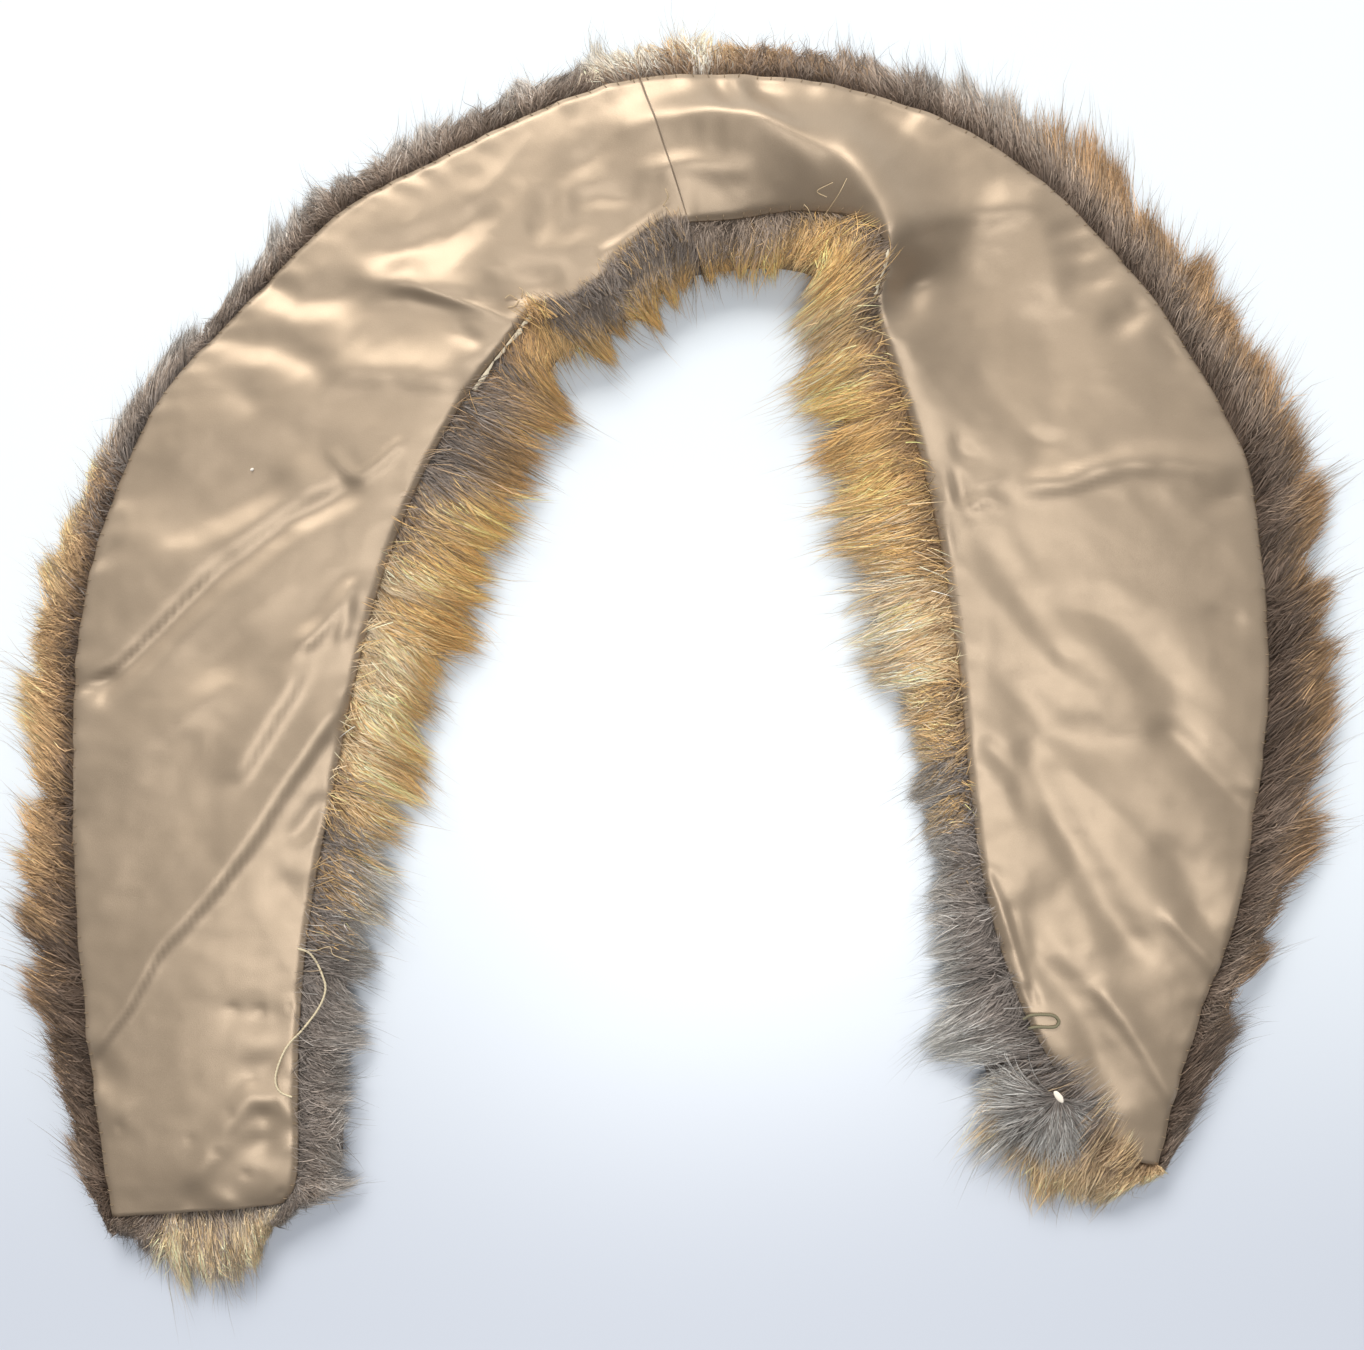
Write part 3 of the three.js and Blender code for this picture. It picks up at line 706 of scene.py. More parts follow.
def clothPlaces(x, y):
    # the cloth's own flat places, along the band and across it
    across = x.shape[1]
    centre = across // 2
    along = lengthAlong(x[:, centre], y[:, centre])
    widths = np.hypot(x - x[:, :1], y - y[:, :1])
    return np.stack([np.repeat(along, across), widths.ravel()], axis=1)


def weaveGroup():
    group = bpy.data.node_groups.new("satinWeave", "ShaderNodeTree")
    group.interface.new_socket("Vector", in_out="INPUT", socket_type="NodeSocketVector")
    group.interface.new_socket("Threads", in_out="INPUT", socket_type="NodeSocketFloat")
    group.interface.new_socket("Height", in_out="OUTPUT", socket_type="NodeSocketFloat")
    group.interface.new_socket("Tone", in_out="OUTPUT", socket_type="NodeSocketFloat")
    nodes, links = group.nodes, group.links
    start, end = nodes.new("NodeGroupInput"), nodes.new("NodeGroupOutput")
    stretch = nodes.new("ShaderNodeVectorMath")
    stretch.operation = "MULTIPLY"
    stretch.inputs[1].default_value = (1, 3, 1)
    links.new(start.outputs["Vector"], stretch.inputs[0])
    floats = nodes.new("ShaderNodeTexNoise")
    floats.inputs["Detail"].default_value = 2
    links.new(stretch.outputs[0], floats.inputs["Vector"])
    links.new(start.outputs["Threads"], floats.inputs["Scale"])
    cloud = nodes.new("ShaderNodeTexNoise")
    cloud.inputs["Scale"].default_value = 45
    cloud.inputs["Detail"].default_value = 4
    links.new(start.outputs["Vector"], cloud.inputs["Vector"])
    links.new(floats.outputs["Fac"], end.inputs["Height"])
    grain = nodes.new("ShaderNodeMix")
    grain.inputs["Factor"].default_value = 0.55
    links.new(cloud.outputs["Fac"], grain.inputs["A"])
    links.new(floats.outputs["Fac"], grain.inputs["B"])
    links.new(grain.outputs["Result"], end.inputs["Tone"])
    return group


def satinMaterial():
    material, tree, shader = newMaterial("champagneSatin", lining["colour"], lining["roughness"],
                                         lining["specular"])
    shader.inputs["Metallic"].default_value = lining["gloss"]
    weave = tree.nodes.new("ShaderNodeGroup")
    weave.node_tree = weaveGroup()
    weave.inputs["Threads"].default_value = lining["threads"]
    places = tree.nodes.new("ShaderNodeUVMap")
    places.uv_map = "clothMap"
    tree.links.new(places.outputs["UV"], weave.inputs["Vector"])
    tone = tree.nodes.new("ShaderNodeMix")
    tone.data_type = "RGBA"
    tone.inputs["A"].default_value = (*linear(lining["dark"]), 1)
    tone.inputs["B"].default_value = (*linear(lining["colour"]), 1)
    tree.links.new(weave.outputs["Tone"], tone.inputs["Factor"])
    tree.links.new(tone.outputs["Result"], shader.inputs["Base Color"])
    bump = tree.nodes.new("ShaderNodeBump")
    bump.inputs["Strength"].default_value = lining["weave"]
    bump.inputs["Distance"].default_value = 0.0001
    tree.links.new(weave.outputs["Height"], bump.inputs["Height"])
    tree.links.new(bump.outputs["Normal"], shader.inputs["Normal"])
    return material


satin = satinMaterial()
makeLiningHalf("liningLeft", 0, seamPlace, -1, "lining_left")
makeLiningHalf("liningRight", seamPlace, lastPlace, 0, "lining_right")
allTops = np.vstack(liningTops)


def onLining(x, y):
    # the lining's height at a place of the part's frame
    nearest = np.argmin((allTops[:, 0] - x) ** 2 + (allTops[:, 1] - y) ** 2)
    return allTops[nearest, 2]


# Fur colours as they are seen, and which of them the pile has along each rim
tones = {
    "greyBrown": (154, 136, 120), "darkBrown": (106, 88, 74), "brown": (160, 130, 100),
    "orange": (216, 174, 124), "gold": (252, 215, 160), "paleGold": (252, 232, 200),
    "cream": (246, 238, 224), "grey": (147, 136, 127), "lightGrey": (196, 187, 177),
    "whiteTip": (246, 243, 235), "tan": (196, 158, 116), "rich": (250, 202, 130),
}
# Each row is a place along the band and the pile's colour at its root, middle and tip.
outerTones = [
    (-3, "grey", "greyBrown", "paleGold"), (-1, "grey", "greyBrown", "lightGrey"),
    (0, "darkBrown", "darkBrown", "greyBrown"), (2.4, "darkBrown", "darkBrown", "brown"),
    (3, "darkBrown", "brown", "orange"), (4.5, "darkBrown", "orange", "gold"),
    (6, "darkBrown", "brown", "gold"), (6.3, "grey", "greyBrown", "grey"),
    (6.6, "grey", "greyBrown", "lightGrey"),
    (9, "darkBrown", "greyBrown", "lightGrey"), (12.3, "darkBrown", "greyBrown", "lightGrey"),
    (12.9, "greyBrown", "paleGold", "cream"), (13.3, "greyBrown", "cream", "cream"),
    (13.7, "brown", "brown", "gold"), (14.4, "darkBrown", "brown", "tan"),
    (14.8, "darkBrown", "greyBrown", "greyBrown"), (16.3, "darkBrown", "greyBrown", "lightGrey"),
    (16.9, "darkBrown", "greyBrown", "tan"), (19, "darkBrown", "greyBrown", "tan"),
    (22, "darkBrown", "darkBrown", "tan"), (24.6, "darkBrown", "greyBrown", "brown"),
    (25.4, "darkBrown", "darkBrown", "greyBrown"), (29, "darkBrown", "greyBrown", "greyBrown"),
]
innerTones = [
    (-3, "grey", "paleGold", "gold"), (0, "grey", "greyBrown", "lightGrey"),
    (2.6, "grey", "grey", "lightGrey"),
    (3.2, "grey", "grey", "whiteTip"), (3.7, "brown", "rich", "gold"), (4.6, "gold", "paleGold", "rich"),
    (5.2, "paleGold", "gold", "rich"), (5.8, "brown", "rich", "rich"),
    (6.2, "grey", "greyBrown", "rich"), (7.2, "grey", "greyBrown", "orange"),
    (7.7, "brown", "orange", "rich"),
    (8.8, "brown", "rich", "gold"), (9.4, "greyBrown", "grey", "rich"), (12, "greyBrown", "grey", "rich"),
    (14.6, "greyBrown", "greyBrown", "rich"), (15.6, "greyBrown", "rich", "gold"),
    (17.6, "greyBrown", "rich", "gold"), (18.8, "greyBrown", "gold", "paleGold"),
    (19.4, "tan", "rich", "rich"),
    (20.9, "brown", "rich", "gold"),
    (21.4, "gold", "paleGold", "cream"), (22.4, "brown", "rich", "gold"), (23.1, "grey", "grey", "lightGrey"),
    (26, "grey", "grey", "whiteTip"), (26.6, "brown", "greyBrown", "gold"), (29, "brown", "gold", "paleGold"),
]


def toneTable(rows):
    return {
        "place": np.array([row[0] for row in rows]),
        "root": np.array([linear(tones[row[1]]) for row in rows]),
        "mid": np.array([linear(tones[row[2]]) for row in rows]),
        "tip": np.array([linear(tones[row[3]]) for row in rows]),
    }


def tonesAt(table, stop, place):
    return np.stack([np.interp(place, table["place"], table[stop][:, k]) for k in range(3)], axis=-1)


# Rims of fur. Each is a line of edge points and tip points past them.
def sideRim(side, firstPlace, endPlace):
    place = np.linspace(firstPlace, endPlace, 1500)
    rows = rowsAt(place, furRows, firstFurPlace)
    edge = np.stack([rows[side + "X"], rows[side + "Y"], rows[side + "Height"]], axis=1)
    tip = np.stack([rows[side + "TipX"], rows[side + "TipY"]], axis=1)
    return rimOf(place, edge, tip)


def endRim(tips, edgeFrom, edgeTo, placeFrom, placeTo):
    # a rim that runs along one end of the lining, its tips given one by one
    count = 400
    share = np.linspace(0, 1, count)
    tips = np.array(tips, float) - (middle["x"], middle["y"])
    knots = np.linspace(0, 1, len(tips))
    tip = np.stack([np.interp(share, knots, tips[:, k]) for k in range(2)], axis=1)
    start = np.array(edgeFrom, float) - (middle["x"], middle["y"], 0)
    end = np.array(edgeTo, float) - (middle["x"], middle["y"], 0)
    return rimOf(mix(placeFrom, placeTo, share), mix(start, end, share[:, None]), tip)


def rimOf(place, edge, tip):
    halfway = mix(edge[:, :2], tip, 0.5)
    along = lengthAlong(halfway[:, 0], halfway[:, 1])
    reach = np.hypot(*(tip - edge[:, :2]).T)
    return {"along": along, "place": place, "edge": edge, "tip": tip, "reach": reach}


def rimAt(rim, along):
    # edge points, tip points, reaches and places at distances along a rim
    pick = lambda values: np.interp(along, rim["along"], values)
    edge = np.stack([pick(rim["edge"][:, k]) for k in range(3)], axis=-1)
    tip = np.stack([pick(rim["tip"][:, k]) for k in range(2)], axis=-1)
    return edge, tip, pick(rim["reach"]), pick(rim["place"])


fur = {
    "under": 2.2, "slope": 0.64, "rootSpread": 0.6, "hairLength": 40, "width": 0.42, "bigPitch": 26,
    "smallPitch": 8.5, "lift": 3.8, "curl": 5, "wave": 1.3, "stray": 1.5, "strays": 0.09, "lowLayer": 0.2,
    "reach": 0.98, "bigReach": 0.28, "smallReach": 0.5, "reachNoise": 0.06, "strayReach": (1.1, 1.5),
    "strayRise": 6, "bigSway": 11, "smallSway": 8, "bigGather": 0.3, "smallGather": 0.7,
}


def pileHeight(edgeHeight, share):
    # the pile's upper surface at a share of its reach
    return (edgeHeight - fur["under"]) * (1 - fur["slope"] * np.clip(share, 0, 1.15) ** 1.4)


def clumpOf(along, pitch, draw, seed):
    # the clump that each hair belongs to, with its middle
    number = np.floor(along / pitch + draw.normal(0, 0.12, len(along)))
    return number, (number + 0.5 + 0.5 * (chance(number, seed) - 0.5)) * pitch


def hairPaths(rim, count, levels, seed, lean, short, length):
    # centre lines of hairs, their roots under the lining's edge or on the pile past it
    draw = np.random.default_rng(seed)
    along = draw.uniform(0, rim["along"][-1], count)
    big, bigMiddle = clumpOf(along, fur["bigPitch"], draw, seed)
    small, smallMiddle = clumpOf(along, fur["smallPitch"], draw, seed + 1)
    root = draw.beta(1.1, 1.7, count) * fur["rootSpread"] - 0.05
    reach = fur["reach"] + fur["bigReach"] * (chance(big, 11) - 0.5)
    reach = reach + fur["smallReach"] * (chance(small, 12) - 0.5)
    reach = reach + draw.normal(0, fur["reachNoise"], count)
    _, _, reachHere, placeHere = rimAt(rim, along)
    reach = reach * np.interp(placeHere, lean["place"], lean["reach"])
    stray = draw.random(count) < fur["strays"]
    reach = np.where(stray, reach * draw.uniform(*fur["strayReach"], count), reach)
    if short:
        grown = draw.uniform(0.25, 0.7, count)
    else:
        grown = np.where(draw.random(count) < 0.6, draw.beta(3, 1.6, count), draw.beta(6, 1, count))
    tipShare = np.minimum(mix(root, reach, grown), root + length * (1 + 0.3 * stray) / reachHere)
    t = np.linspace(0, 1, levels)[None, :]
    share = mix(root[:, None], tipShare[:, None], t)
    gather = fur["smallGather"] * (smallMiddle - along)[:, None] * t ** 1.5
    gather = gather + fur["bigGather"] * (bigMiddle - along)[:, None] * t ** 2
    drift = np.interp(placeHere, lean["place"], lean["drift"]) * (tipShare - root)
    sway = drift + fur["bigSway"] * (chance(big, 13) - 0.5) + fur["smallSway"] * (chance(small, 14) - 0.5)
    sway = sway + draw.normal(0, fur["stray"], count) * np.where(stray, 2.5, 1)
    bend = fur["curl"] * (chance(small, 15) - 0.5 + draw.normal(0, 0.35, count))
    wave = fur["wave"] * (chance(small, 17) - 0.5 + draw.normal(0, 0.4, count))
    side = gather + sway[:, None] * t ** 0.8 + bend[:, None] * np.sin(np.pi * t)
    side = side + wave[:, None] * np.sin(2 * np.pi * t)
    edge, tip, _, place = rimAt(rim, along[:, None] + side)
    flat = edge[..., :2] + (tip - edge[..., :2]) * share[..., None]
    low = np.where(draw.random(count) < fur["lowLayer"], draw.uniform(0.3, 0.8, count), 1.0)
    rise = fur["lift"] * draw.uniform(0.1, 1, count) * (0.7 + 0.6 * chance(big, 16)) * low
    strayRise = stray * draw.uniform(0, fur["strayRise"], count)
    up = rise[:, None] * np.sin(np.pi * t ** 0.75) + strayRise[:, None] * t ** 2
    z = pileHeight(edge[..., 2], share) * low[:, None] + up - 0.8 * (1 - t)
    paths = np.concatenate([flat, np.maximum(z, 0.5)[..., None]], axis=-1)
    facts = {"share": share, "place": place, "big": big, "small": small, "stray": stray, "t": t, "low": low}
    return paths, facts, draw


def hairColours(facts, table, draw, short):
    count = len(facts["big"])
    wander = 0.9 * (chance(facts["small"], 21) - 0.5) + draw.normal(0, 0.3, count)
    place = facts["place"] + wander[:, None]
    spread = mix(facts["share"], facts["t"], 0.2 if short else 0.45)
    spread = spread + (0.16 * (chance(facts["big"], 22) - 0.5) + draw.normal(0, 0.09, count))[:, None]
    root, mid, tip = (tonesAt(table, stop, place) for stop in ("root", "mid", "tip"))
    first = np.clip((spread - 0.1) / 0.3, 0, 1)[..., None]
    second = np.clip((spread - 0.45) / 0.3, 0, 1)[..., None]
    colour = mix(mix(root, mid, first), tip, second)
    tone = np.exp(draw.normal(0, 0.16, count)) * (0.82 + 0.36 * chance(facts["small"], 23))
    # stray guard hairs are darker in their own colour; hairs of the low layer are painted up to half as
    # bright, a painted shade under the upper hairs
    tone = tone * np.where(facts["stray"], 0.4, 1) * mix(0.5, 1, facts["low"])
    # painted shade: hairs are painted darker near their roots, where they go under the lining's edge
    shade = mix(0.72, 1, np.clip(facts["share"] / 0.2, 0, 1))
    return np.clip(colour * (tone[:, None] * shade)[..., None], 0, 0.95)


def ribbons(paths, widths, roll):
    # flat tapering ribbons along the paths, each with a point at its tip
    count, levels = paths.shape[:2]
    ahead = np.gradient(paths, axis=1)
    ahead /= np.maximum(np.linalg.norm(ahead, axis=2), 1e-9)[..., None]
    level = np.cross(ahead, (0, 0, 1.0))
    level /= np.maximum(np.linalg.norm(level, axis=2), 1e-9)[..., None]
    above = np.cross(level, ahead)
    side = level * np.cos(roll)[:, None, None] + above * np.sin(roll)[:, None, None]
    t = np.linspace(0, 1, levels)
    half = 0.5 * widths[:, None] * (1 - 0.75 * t ** 1.5)[None, :]
    left = paths[:, :-1] - side[:, :-1] * half[:, :-1, None]
    right = paths[:, :-1] + side[:, :-1] * half[:, :-1, None]
    pairs = np.stack([left, right], axis=2).reshape(count, -1, 3)
    points = np.concatenate([pairs, paths[:, -1:]], axis=1)
    size = 2 * levels - 1
    start = (np.arange(count) * size)[:, None]
    step = np.arange(levels - 2)[None, :] * 2
    base = start + step
    quads = np.stack([base, base + 1, base + 3, base + 2], axis=-1).reshape(-1, 4)
    tipBase = start[:, 0] + size - 3
    triangles = np.stack([tipBase, tipBase + 1, tipBase + 2], axis=1)
    return points.reshape(-1, 3), quads, triangles


def perVertex(values):
    # values of each level doubled for the ribbon's two sides, once at its tip
    doubled = np.repeat(values[:, :-1], 2, axis=1)
    return np.concatenate([doubled, values[:, -1:]], axis=1)


def bakeMap(facts, count, levels):
    # a narrow upright sliver of the map for each hair, by its place along the rim
    place = facts["place"][:, :1]
    across = (place - place.min()) / (place.max() - place.min() + 1e-6) * 0.98 + 0.01
    u = np.repeat(across, 2 * levels - 1, axis=1)
    u[:, 1:-1:2] += 0.002
    v = np.broadcast_to(0.02 + 0.96 * facts["t"], (count, levels))
    return np.stack([u, perVertex(v)], axis=-1).reshape(-1, 2)


def growPart(rim, table, count, levels, seed, lean, short, length):
    paths, facts, draw = hairPaths(rim, count, levels, seed, lean, short, length)
    colours = hairColours(facts, table, draw, short)
    widths = fur["width"] * draw.uniform(0.6, 1.3, count) * np.where(facts["stray"], 0.6, 1)
    roll = draw.normal(0, 0.5, count)
    points, quads, triangles = ribbons(paths, widths, roll)
    return points, quads, triangles, perVertex(colours).reshape(-1, 3), bakeMap(facts, count, levels)


def growFur(name, rim, table, counts, seed, lean, length=fur["hairLength"]):
    # long hairs over short ones in one mesh
    parts = [growPart(rim, table, counts[0], 5, seed, lean, False, length),
             growPart(rim, table, counts[1], 4, seed + 50, lean, True, length)]
    offset = len(parts[0][0])
    points = np.vstack([part[0] for part in parts])
    quads = np.vstack([parts[0][1], parts[1][1] + offset])
    triangles = np.vstack([parts[0][2], parts[1][2] + offset])
    piece = meshPiece(name, points, [quads, triangles])
    setColours(piece, "furColour", np.vstack([part[3] for part in parts]))
    setMap(piece, "OFBake", np.vstack([part[4] for part in parts]))
    dress(piece, furMaterial, "fur")
    print("stage:", name, 2 * len(quads) + len(triangles), "triangles")


def liftOver(paths, gap):
    # lifts the places of hairs that lie on the lining to a gap over the cloth
    for spot in paths.reshape(-1, 3):
        apart = (allTops[:, 0] - spot[0]) ** 2 + (allTops[:, 1] - spot[1]) ** 2
        nearest = np.argmin(apart)
        if apart[nearest] < 4:
            spot[2] = max(spot[2], allTops[nearest, 2] + gap)


def growLoose(name, paths, facts, table, draw, width):
    # a piece of loose hairs that lie over the pile and the lining
    liftOver(paths, over["gap"])
    count, levels = paths.shape[:2]
    colours = hairColours(facts, table, draw, True)
    widths = width * draw.uniform(0.6, 1.2, count)
    points, quads, triangles = ribbons(paths, widths, draw.normal(0, 0.4, count))
    piece = meshPiece(name, points, [quads, triangles])
    setColours(piece, "furColour", perVertex(colours).reshape(-1, 3))
    setMap(piece, "OFBake", bakeMap(facts, count, levels))
    dress(piece, furMaterial, "fur")


# Hairs that start in the pile and lie over the lining's edge, for a stretch of it
over = {"levels": 5, "gap": 0.6, "lock": 5, "start": (0.02, 0.3), "swing": 10, "scatter": 2.5,
        "rest": 0.8, "rise": (0.5, 3), "climb": 2.5, "strays": 0.3, "width": 0.8}


def growOver(name, rim, firstPlace, endPlace, count, reach, seed):
    draw = np.random.default_rng(seed)
    ends = np.interp((firstPlace, endPlace), rim["place"], rim["along"])
    along = draw.uniform(*ends, count)
    lock = np.floor(along / over["lock"])
    t = np.linspace(0, 1, over["levels"])[None, :]
    start, end = draw.uniform(*over["start"], count), -reach * draw.beta(1.5, 2.5, count)
    share = mix(start[:, None], end[:, None], t)
    side = (over["swing"] * (chance(lock, 61) - 0.5) + draw.normal(0, over["scatter"], count))[:, None] * t
    edge, tip, _, place = rimAt(rim, along[:, None] + side)
    flat = edge[..., :2] + (tip - edge[..., :2]) * share[..., None]
    hump = draw.uniform(*over["rise"], count)[:, None] * np.sin(np.pi * t)
    z = edge[..., 2] + over["rest"] + hump + over["climb"] * np.maximum(0, -share)
    paths = np.concatenate([flat, z[..., None]], axis=-1)
    facts = {"share": np.abs(share) + 0.3, "place": place, "big": lock, "small": lock,
             "stray": draw.random(count) < over["strays"], "t": t + 0 * share, "low": np.ones(count)}
    growLoose(name, paths, facts, innerTable, draw, over["width"] * fur["width"])


# Hairs that part round a bare spot at the right end, from one angle to another
whorl = {"x": 1058, "y": 1096, "count": 1500, "from": 2.7, "to": 6.0, "start": (1, 6), "length": (10, 34),
         "height": 23, "rise": 2, "fall": 7, "lock": 0.16, "hold": 0.3, "bend": 0.5, "scatter": 0.25,
         "place": 24, "skin": (3.4, 1.5, 0.7), "turn": -0.9}


def growWhorl():
    draw = np.random.default_rng(111)
    count = whorl["count"]
    x, y = fromPicture(whorl["x"], whorl["y"])
    t = np.linspace(0, 1, over["levels"])[None, :]
    angle = draw.uniform(whorl["from"], whorl["to"], count)
    lock = np.floor(angle / whorl["lock"])
    angle = angle + whorl["hold"] * ((lock + 0.5) * whorl["lock"] - angle)
    bend = whorl["bend"] * (chance(lock, 71) - 0.5) + draw.normal(0, whorl["scatter"], count)
    turned = angle[:, None] + bend[:, None] * t
    reach = draw.uniform(*whorl["length"], count) * (0.75 + 0.5 * chance(lock, 72))
    start = draw.uniform(*whorl["start"], count)
    distance = start[:, None] + reach[:, None] * t
    out = np.stack([np.cos(turned), np.sin(turned)], axis=-1) * distance[..., None]
    flat = np.array([x - middle["x"], y - middle["y"]]) + out
    z = whorl["height"] + draw.uniform(0, whorl["rise"], count)[:, None] * np.sin(np.pi * t)
    z = z - whorl["fall"] * (distance / whorl["length"][1]) ** 1.5
    paths = np.concatenate([flat, z[..., None]], axis=-1)
    level = t + 0 * distance
    # the whorl's hairs count as low hairs here, so hairColours paints them darker, a painted shade
    facts = {"share": 0.25 + 0.75 * level, "place": whorl["place"] + 1.5 * level, "big": lock, "small": lock,
             "stray": draw.random(count) < 0.12, "t": level, "low": draw.uniform(0, 0.5, count)}
    growLoose("furWhorl", paths, facts, innerTable, draw, fur["width"])


def makeFurMaterial():
    material, tree, shader = newMaterial("furHair", tones["brown"], 0.6, 0.25)
    colour = tree.nodes.new("ShaderNodeVertexColor")
    colour.layer_name = "furColour"
    tree.links.new(colour.outputs["Color"], shader.inputs["Base Color"])
    return material


furMaterial = makeFurMaterial()
endTones = [(-3, "grey", "paleGold", "gold"), (-2.3, "greyBrown", "gold", "paleGold"),
            (-1.9, "grey", "greyBrown", "lightGrey"), (-1.5, "darkBrown", "greyBrown", "grey")]
outerTable, innerTable, endTable = toneTable(outerTones), toneTable(innerTones), toneTable(endTones)
# How far the pile drifts along the rim on its way out, and how its length varies
outerLean = {"place": [-3, 0, 3, 8, 12, 13.5, 14, 15, 16, 17, 18.5, 20, 25, 29],
             "drift": [-6, 4, 16, 14, 6, 0, -2, -6, -10, -14, -18, -22, -18, -8],
             "reach": [1, 1, 1.06, 1.0, 1.0, 1.12, 1.12, 1.1, 1.3, 1.45, 1.35, 1.15, 1.0, 0.9]}
innerLean = {"place": [-3, 0, 3, 4.5, 6, 7, 8, 10, 12, 14.5, 16, 19, 25.4, 26.1, 29],
             "drift": [-4, -6, -10, -16, -14, -10, -10, -4, 0, 2, 8, 16, 4, 20, 10],
             "reach": [1, 1, 1.0, 1.25, 1.25, 1.15, 1, 1.05, 0.85, 0.8, 1.1, 1.1, 1.05, 1.0, 1.0]}
flatLean = {"place": [-4, 30], "drift": [0, 0], "reach": [1, 1]}
leftEndTips = [(-264, -254), (-256, -260), (-246, -266), (-236, -274), (-226, -285), (-214, -296),
               (-204, -292), (-196, -282), (-190, -262), (-186, -250)]
rightEndTips = [(186, -243), (195, -244), (207, -238), (223, -229)]

leftOuter, rightOuter = sideRim("outer", -0.7, seamPlace), sideRim("outer", seamPlace, lastPlace + 0.6)
leftInner, rightInner = sideRim("inner", -0.6, seamPlace), sideRim("inner", seamPlace, lastPlace + 0.6)
leftEnd = endRim(leftEndTips, (-259, -246, 15), (-181, -240, 15), -1.5, -3)
rightEnd = endRim(rightEndTips, (203, -220, 15), (217, -223, 14), 28, 28.5)
growFur("furLeftOuter", leftOuter, outerTable, (17800, 10500), 101, outerLean)
growFur("furRightOuter", rightOuter, outerTable, (17600, 10300), 102, outerLean)
growFur("furLeftInner", leftInner, innerTable, (16500, 9500), 103, innerLean)
growFur("furRightInner", rightInner, innerTable, (16800, 10200), 104, innerLean)
growFur("furLeftEnd", leftEnd, endTable, (6000, 2800), 105, flatLean, 62)
growFur("furRightEnd", rightEnd, innerTable, (900, 400), 106, flatLean)
overRim = sideRim("inner", -0.4, seamPlace)
growOver("furOverNeck", overRim, 8.2, 12.9, 900, 0.3, 107)
growOver("furOverLeft", overRim, 0.2, 8.2, 500, 0.16, 108)
growOver("furOverRight", rightInner, 15.6, 25.6, 500, 0.16, 109)
growOver("furOverEnd", rightInner, 25.6, 28.4, 700, 0.45, 110)
growWhorl()
print("stage: loose hair over the lining")


# The fur's body under the hair, flat where it rests
baseProfile = [(0.1, 0.88), (0.24, 0.8), (0.38, 0.66), (0.5, 0.46), (0.58, 0.24), (0.6, 0.08), (0.54, 0)]
furBase = {"under": 3.4, "alongStep": 4, "acrossCount": 22, "undersideCount": 8, "shade": 0.75}


def baseRings(rows):
    shares = np.linspace(0, 1, furBase["acrossCount"])
    x, y, z, _ = topGrid(rows, shares)
    z = z + np.minimum(0, foldHeight(x + middle["x"], y + middle["y"])) - furBase["under"]
    top = np.stack([x, y, z], axis=2)
    outerRim = rimProfile(top[:, -1], rows["outerTipX"], rows["outerTipY"])
    innerRim = rimProfile(top[:, 0], rows["innerTipX"], rows["innerTipY"])[:, ::-1]
    share = np.linspace(0, 1, furBase["undersideCount"])[None, 1:-1, None]
    underside = mix(outerRim[:, -1:], innerRim[:, :1], share)
    return np.concatenate([top, outerRim, underside, innerRim], axis=1)


def rimProfile(edge, tipX, tipY):
    tip = np.stack([tipX, tipY], axis=1)
    rings = []
    for reach, height in baseProfile:
        flat = mix(edge[:, :2], tip, reach)
        rings.append(np.concatenate([flat, edge[:, 2:] * height], axis=1))
    return np.stack(rings, axis=1)


def makeFurBase(name, firstPlace, endPlace, node):
    places = evenPlaces(firstPlace, endPlace, furBase["alongStep"], furRows, firstFurPlace)
    rings = baseRings(rowsAt(places, furRows, firstFurPlace))
    piece = loft(name, rings)
    around = rings.shape[1]
    place = np.repeat(places, around)
    wander = 0.5 * softField(rings[..., 0].ravel() / 9, rings[..., 1].ravel() / 9, 31)
    colour = mix(tonesAt(outerTable, "root", place + wander), tonesAt(innerTable, "mid", place + wander), 0.4)
    # painted shade: the body's colour is scaled darker by furBase's shade, as if shaded by the hair over it
    colour = np.vstack([colour, colour[[0, -1]]]) * furBase["shade"]
    setColours(piece, "furColour", colour)
    dress(piece, furMaterial, "fur", node)
    print("stage:", name, len(piece.data.polygons), "faces")


makeFurBase("furBodyLeft", firstFurPlace + 2.5, seamPlace - 0.004, "fur_left")
makeFurBase("furBodyRight", seamPlace + 0.004, lastPlace + 0.4, "fur_right")


# Bare pelt edge beside the lining
peltEdge = {"start": 0.3, "width": 2.0, "thickness": 0.6, "rise": 0.4, "drop": 1.8, "colour": (226, 212, 184)}


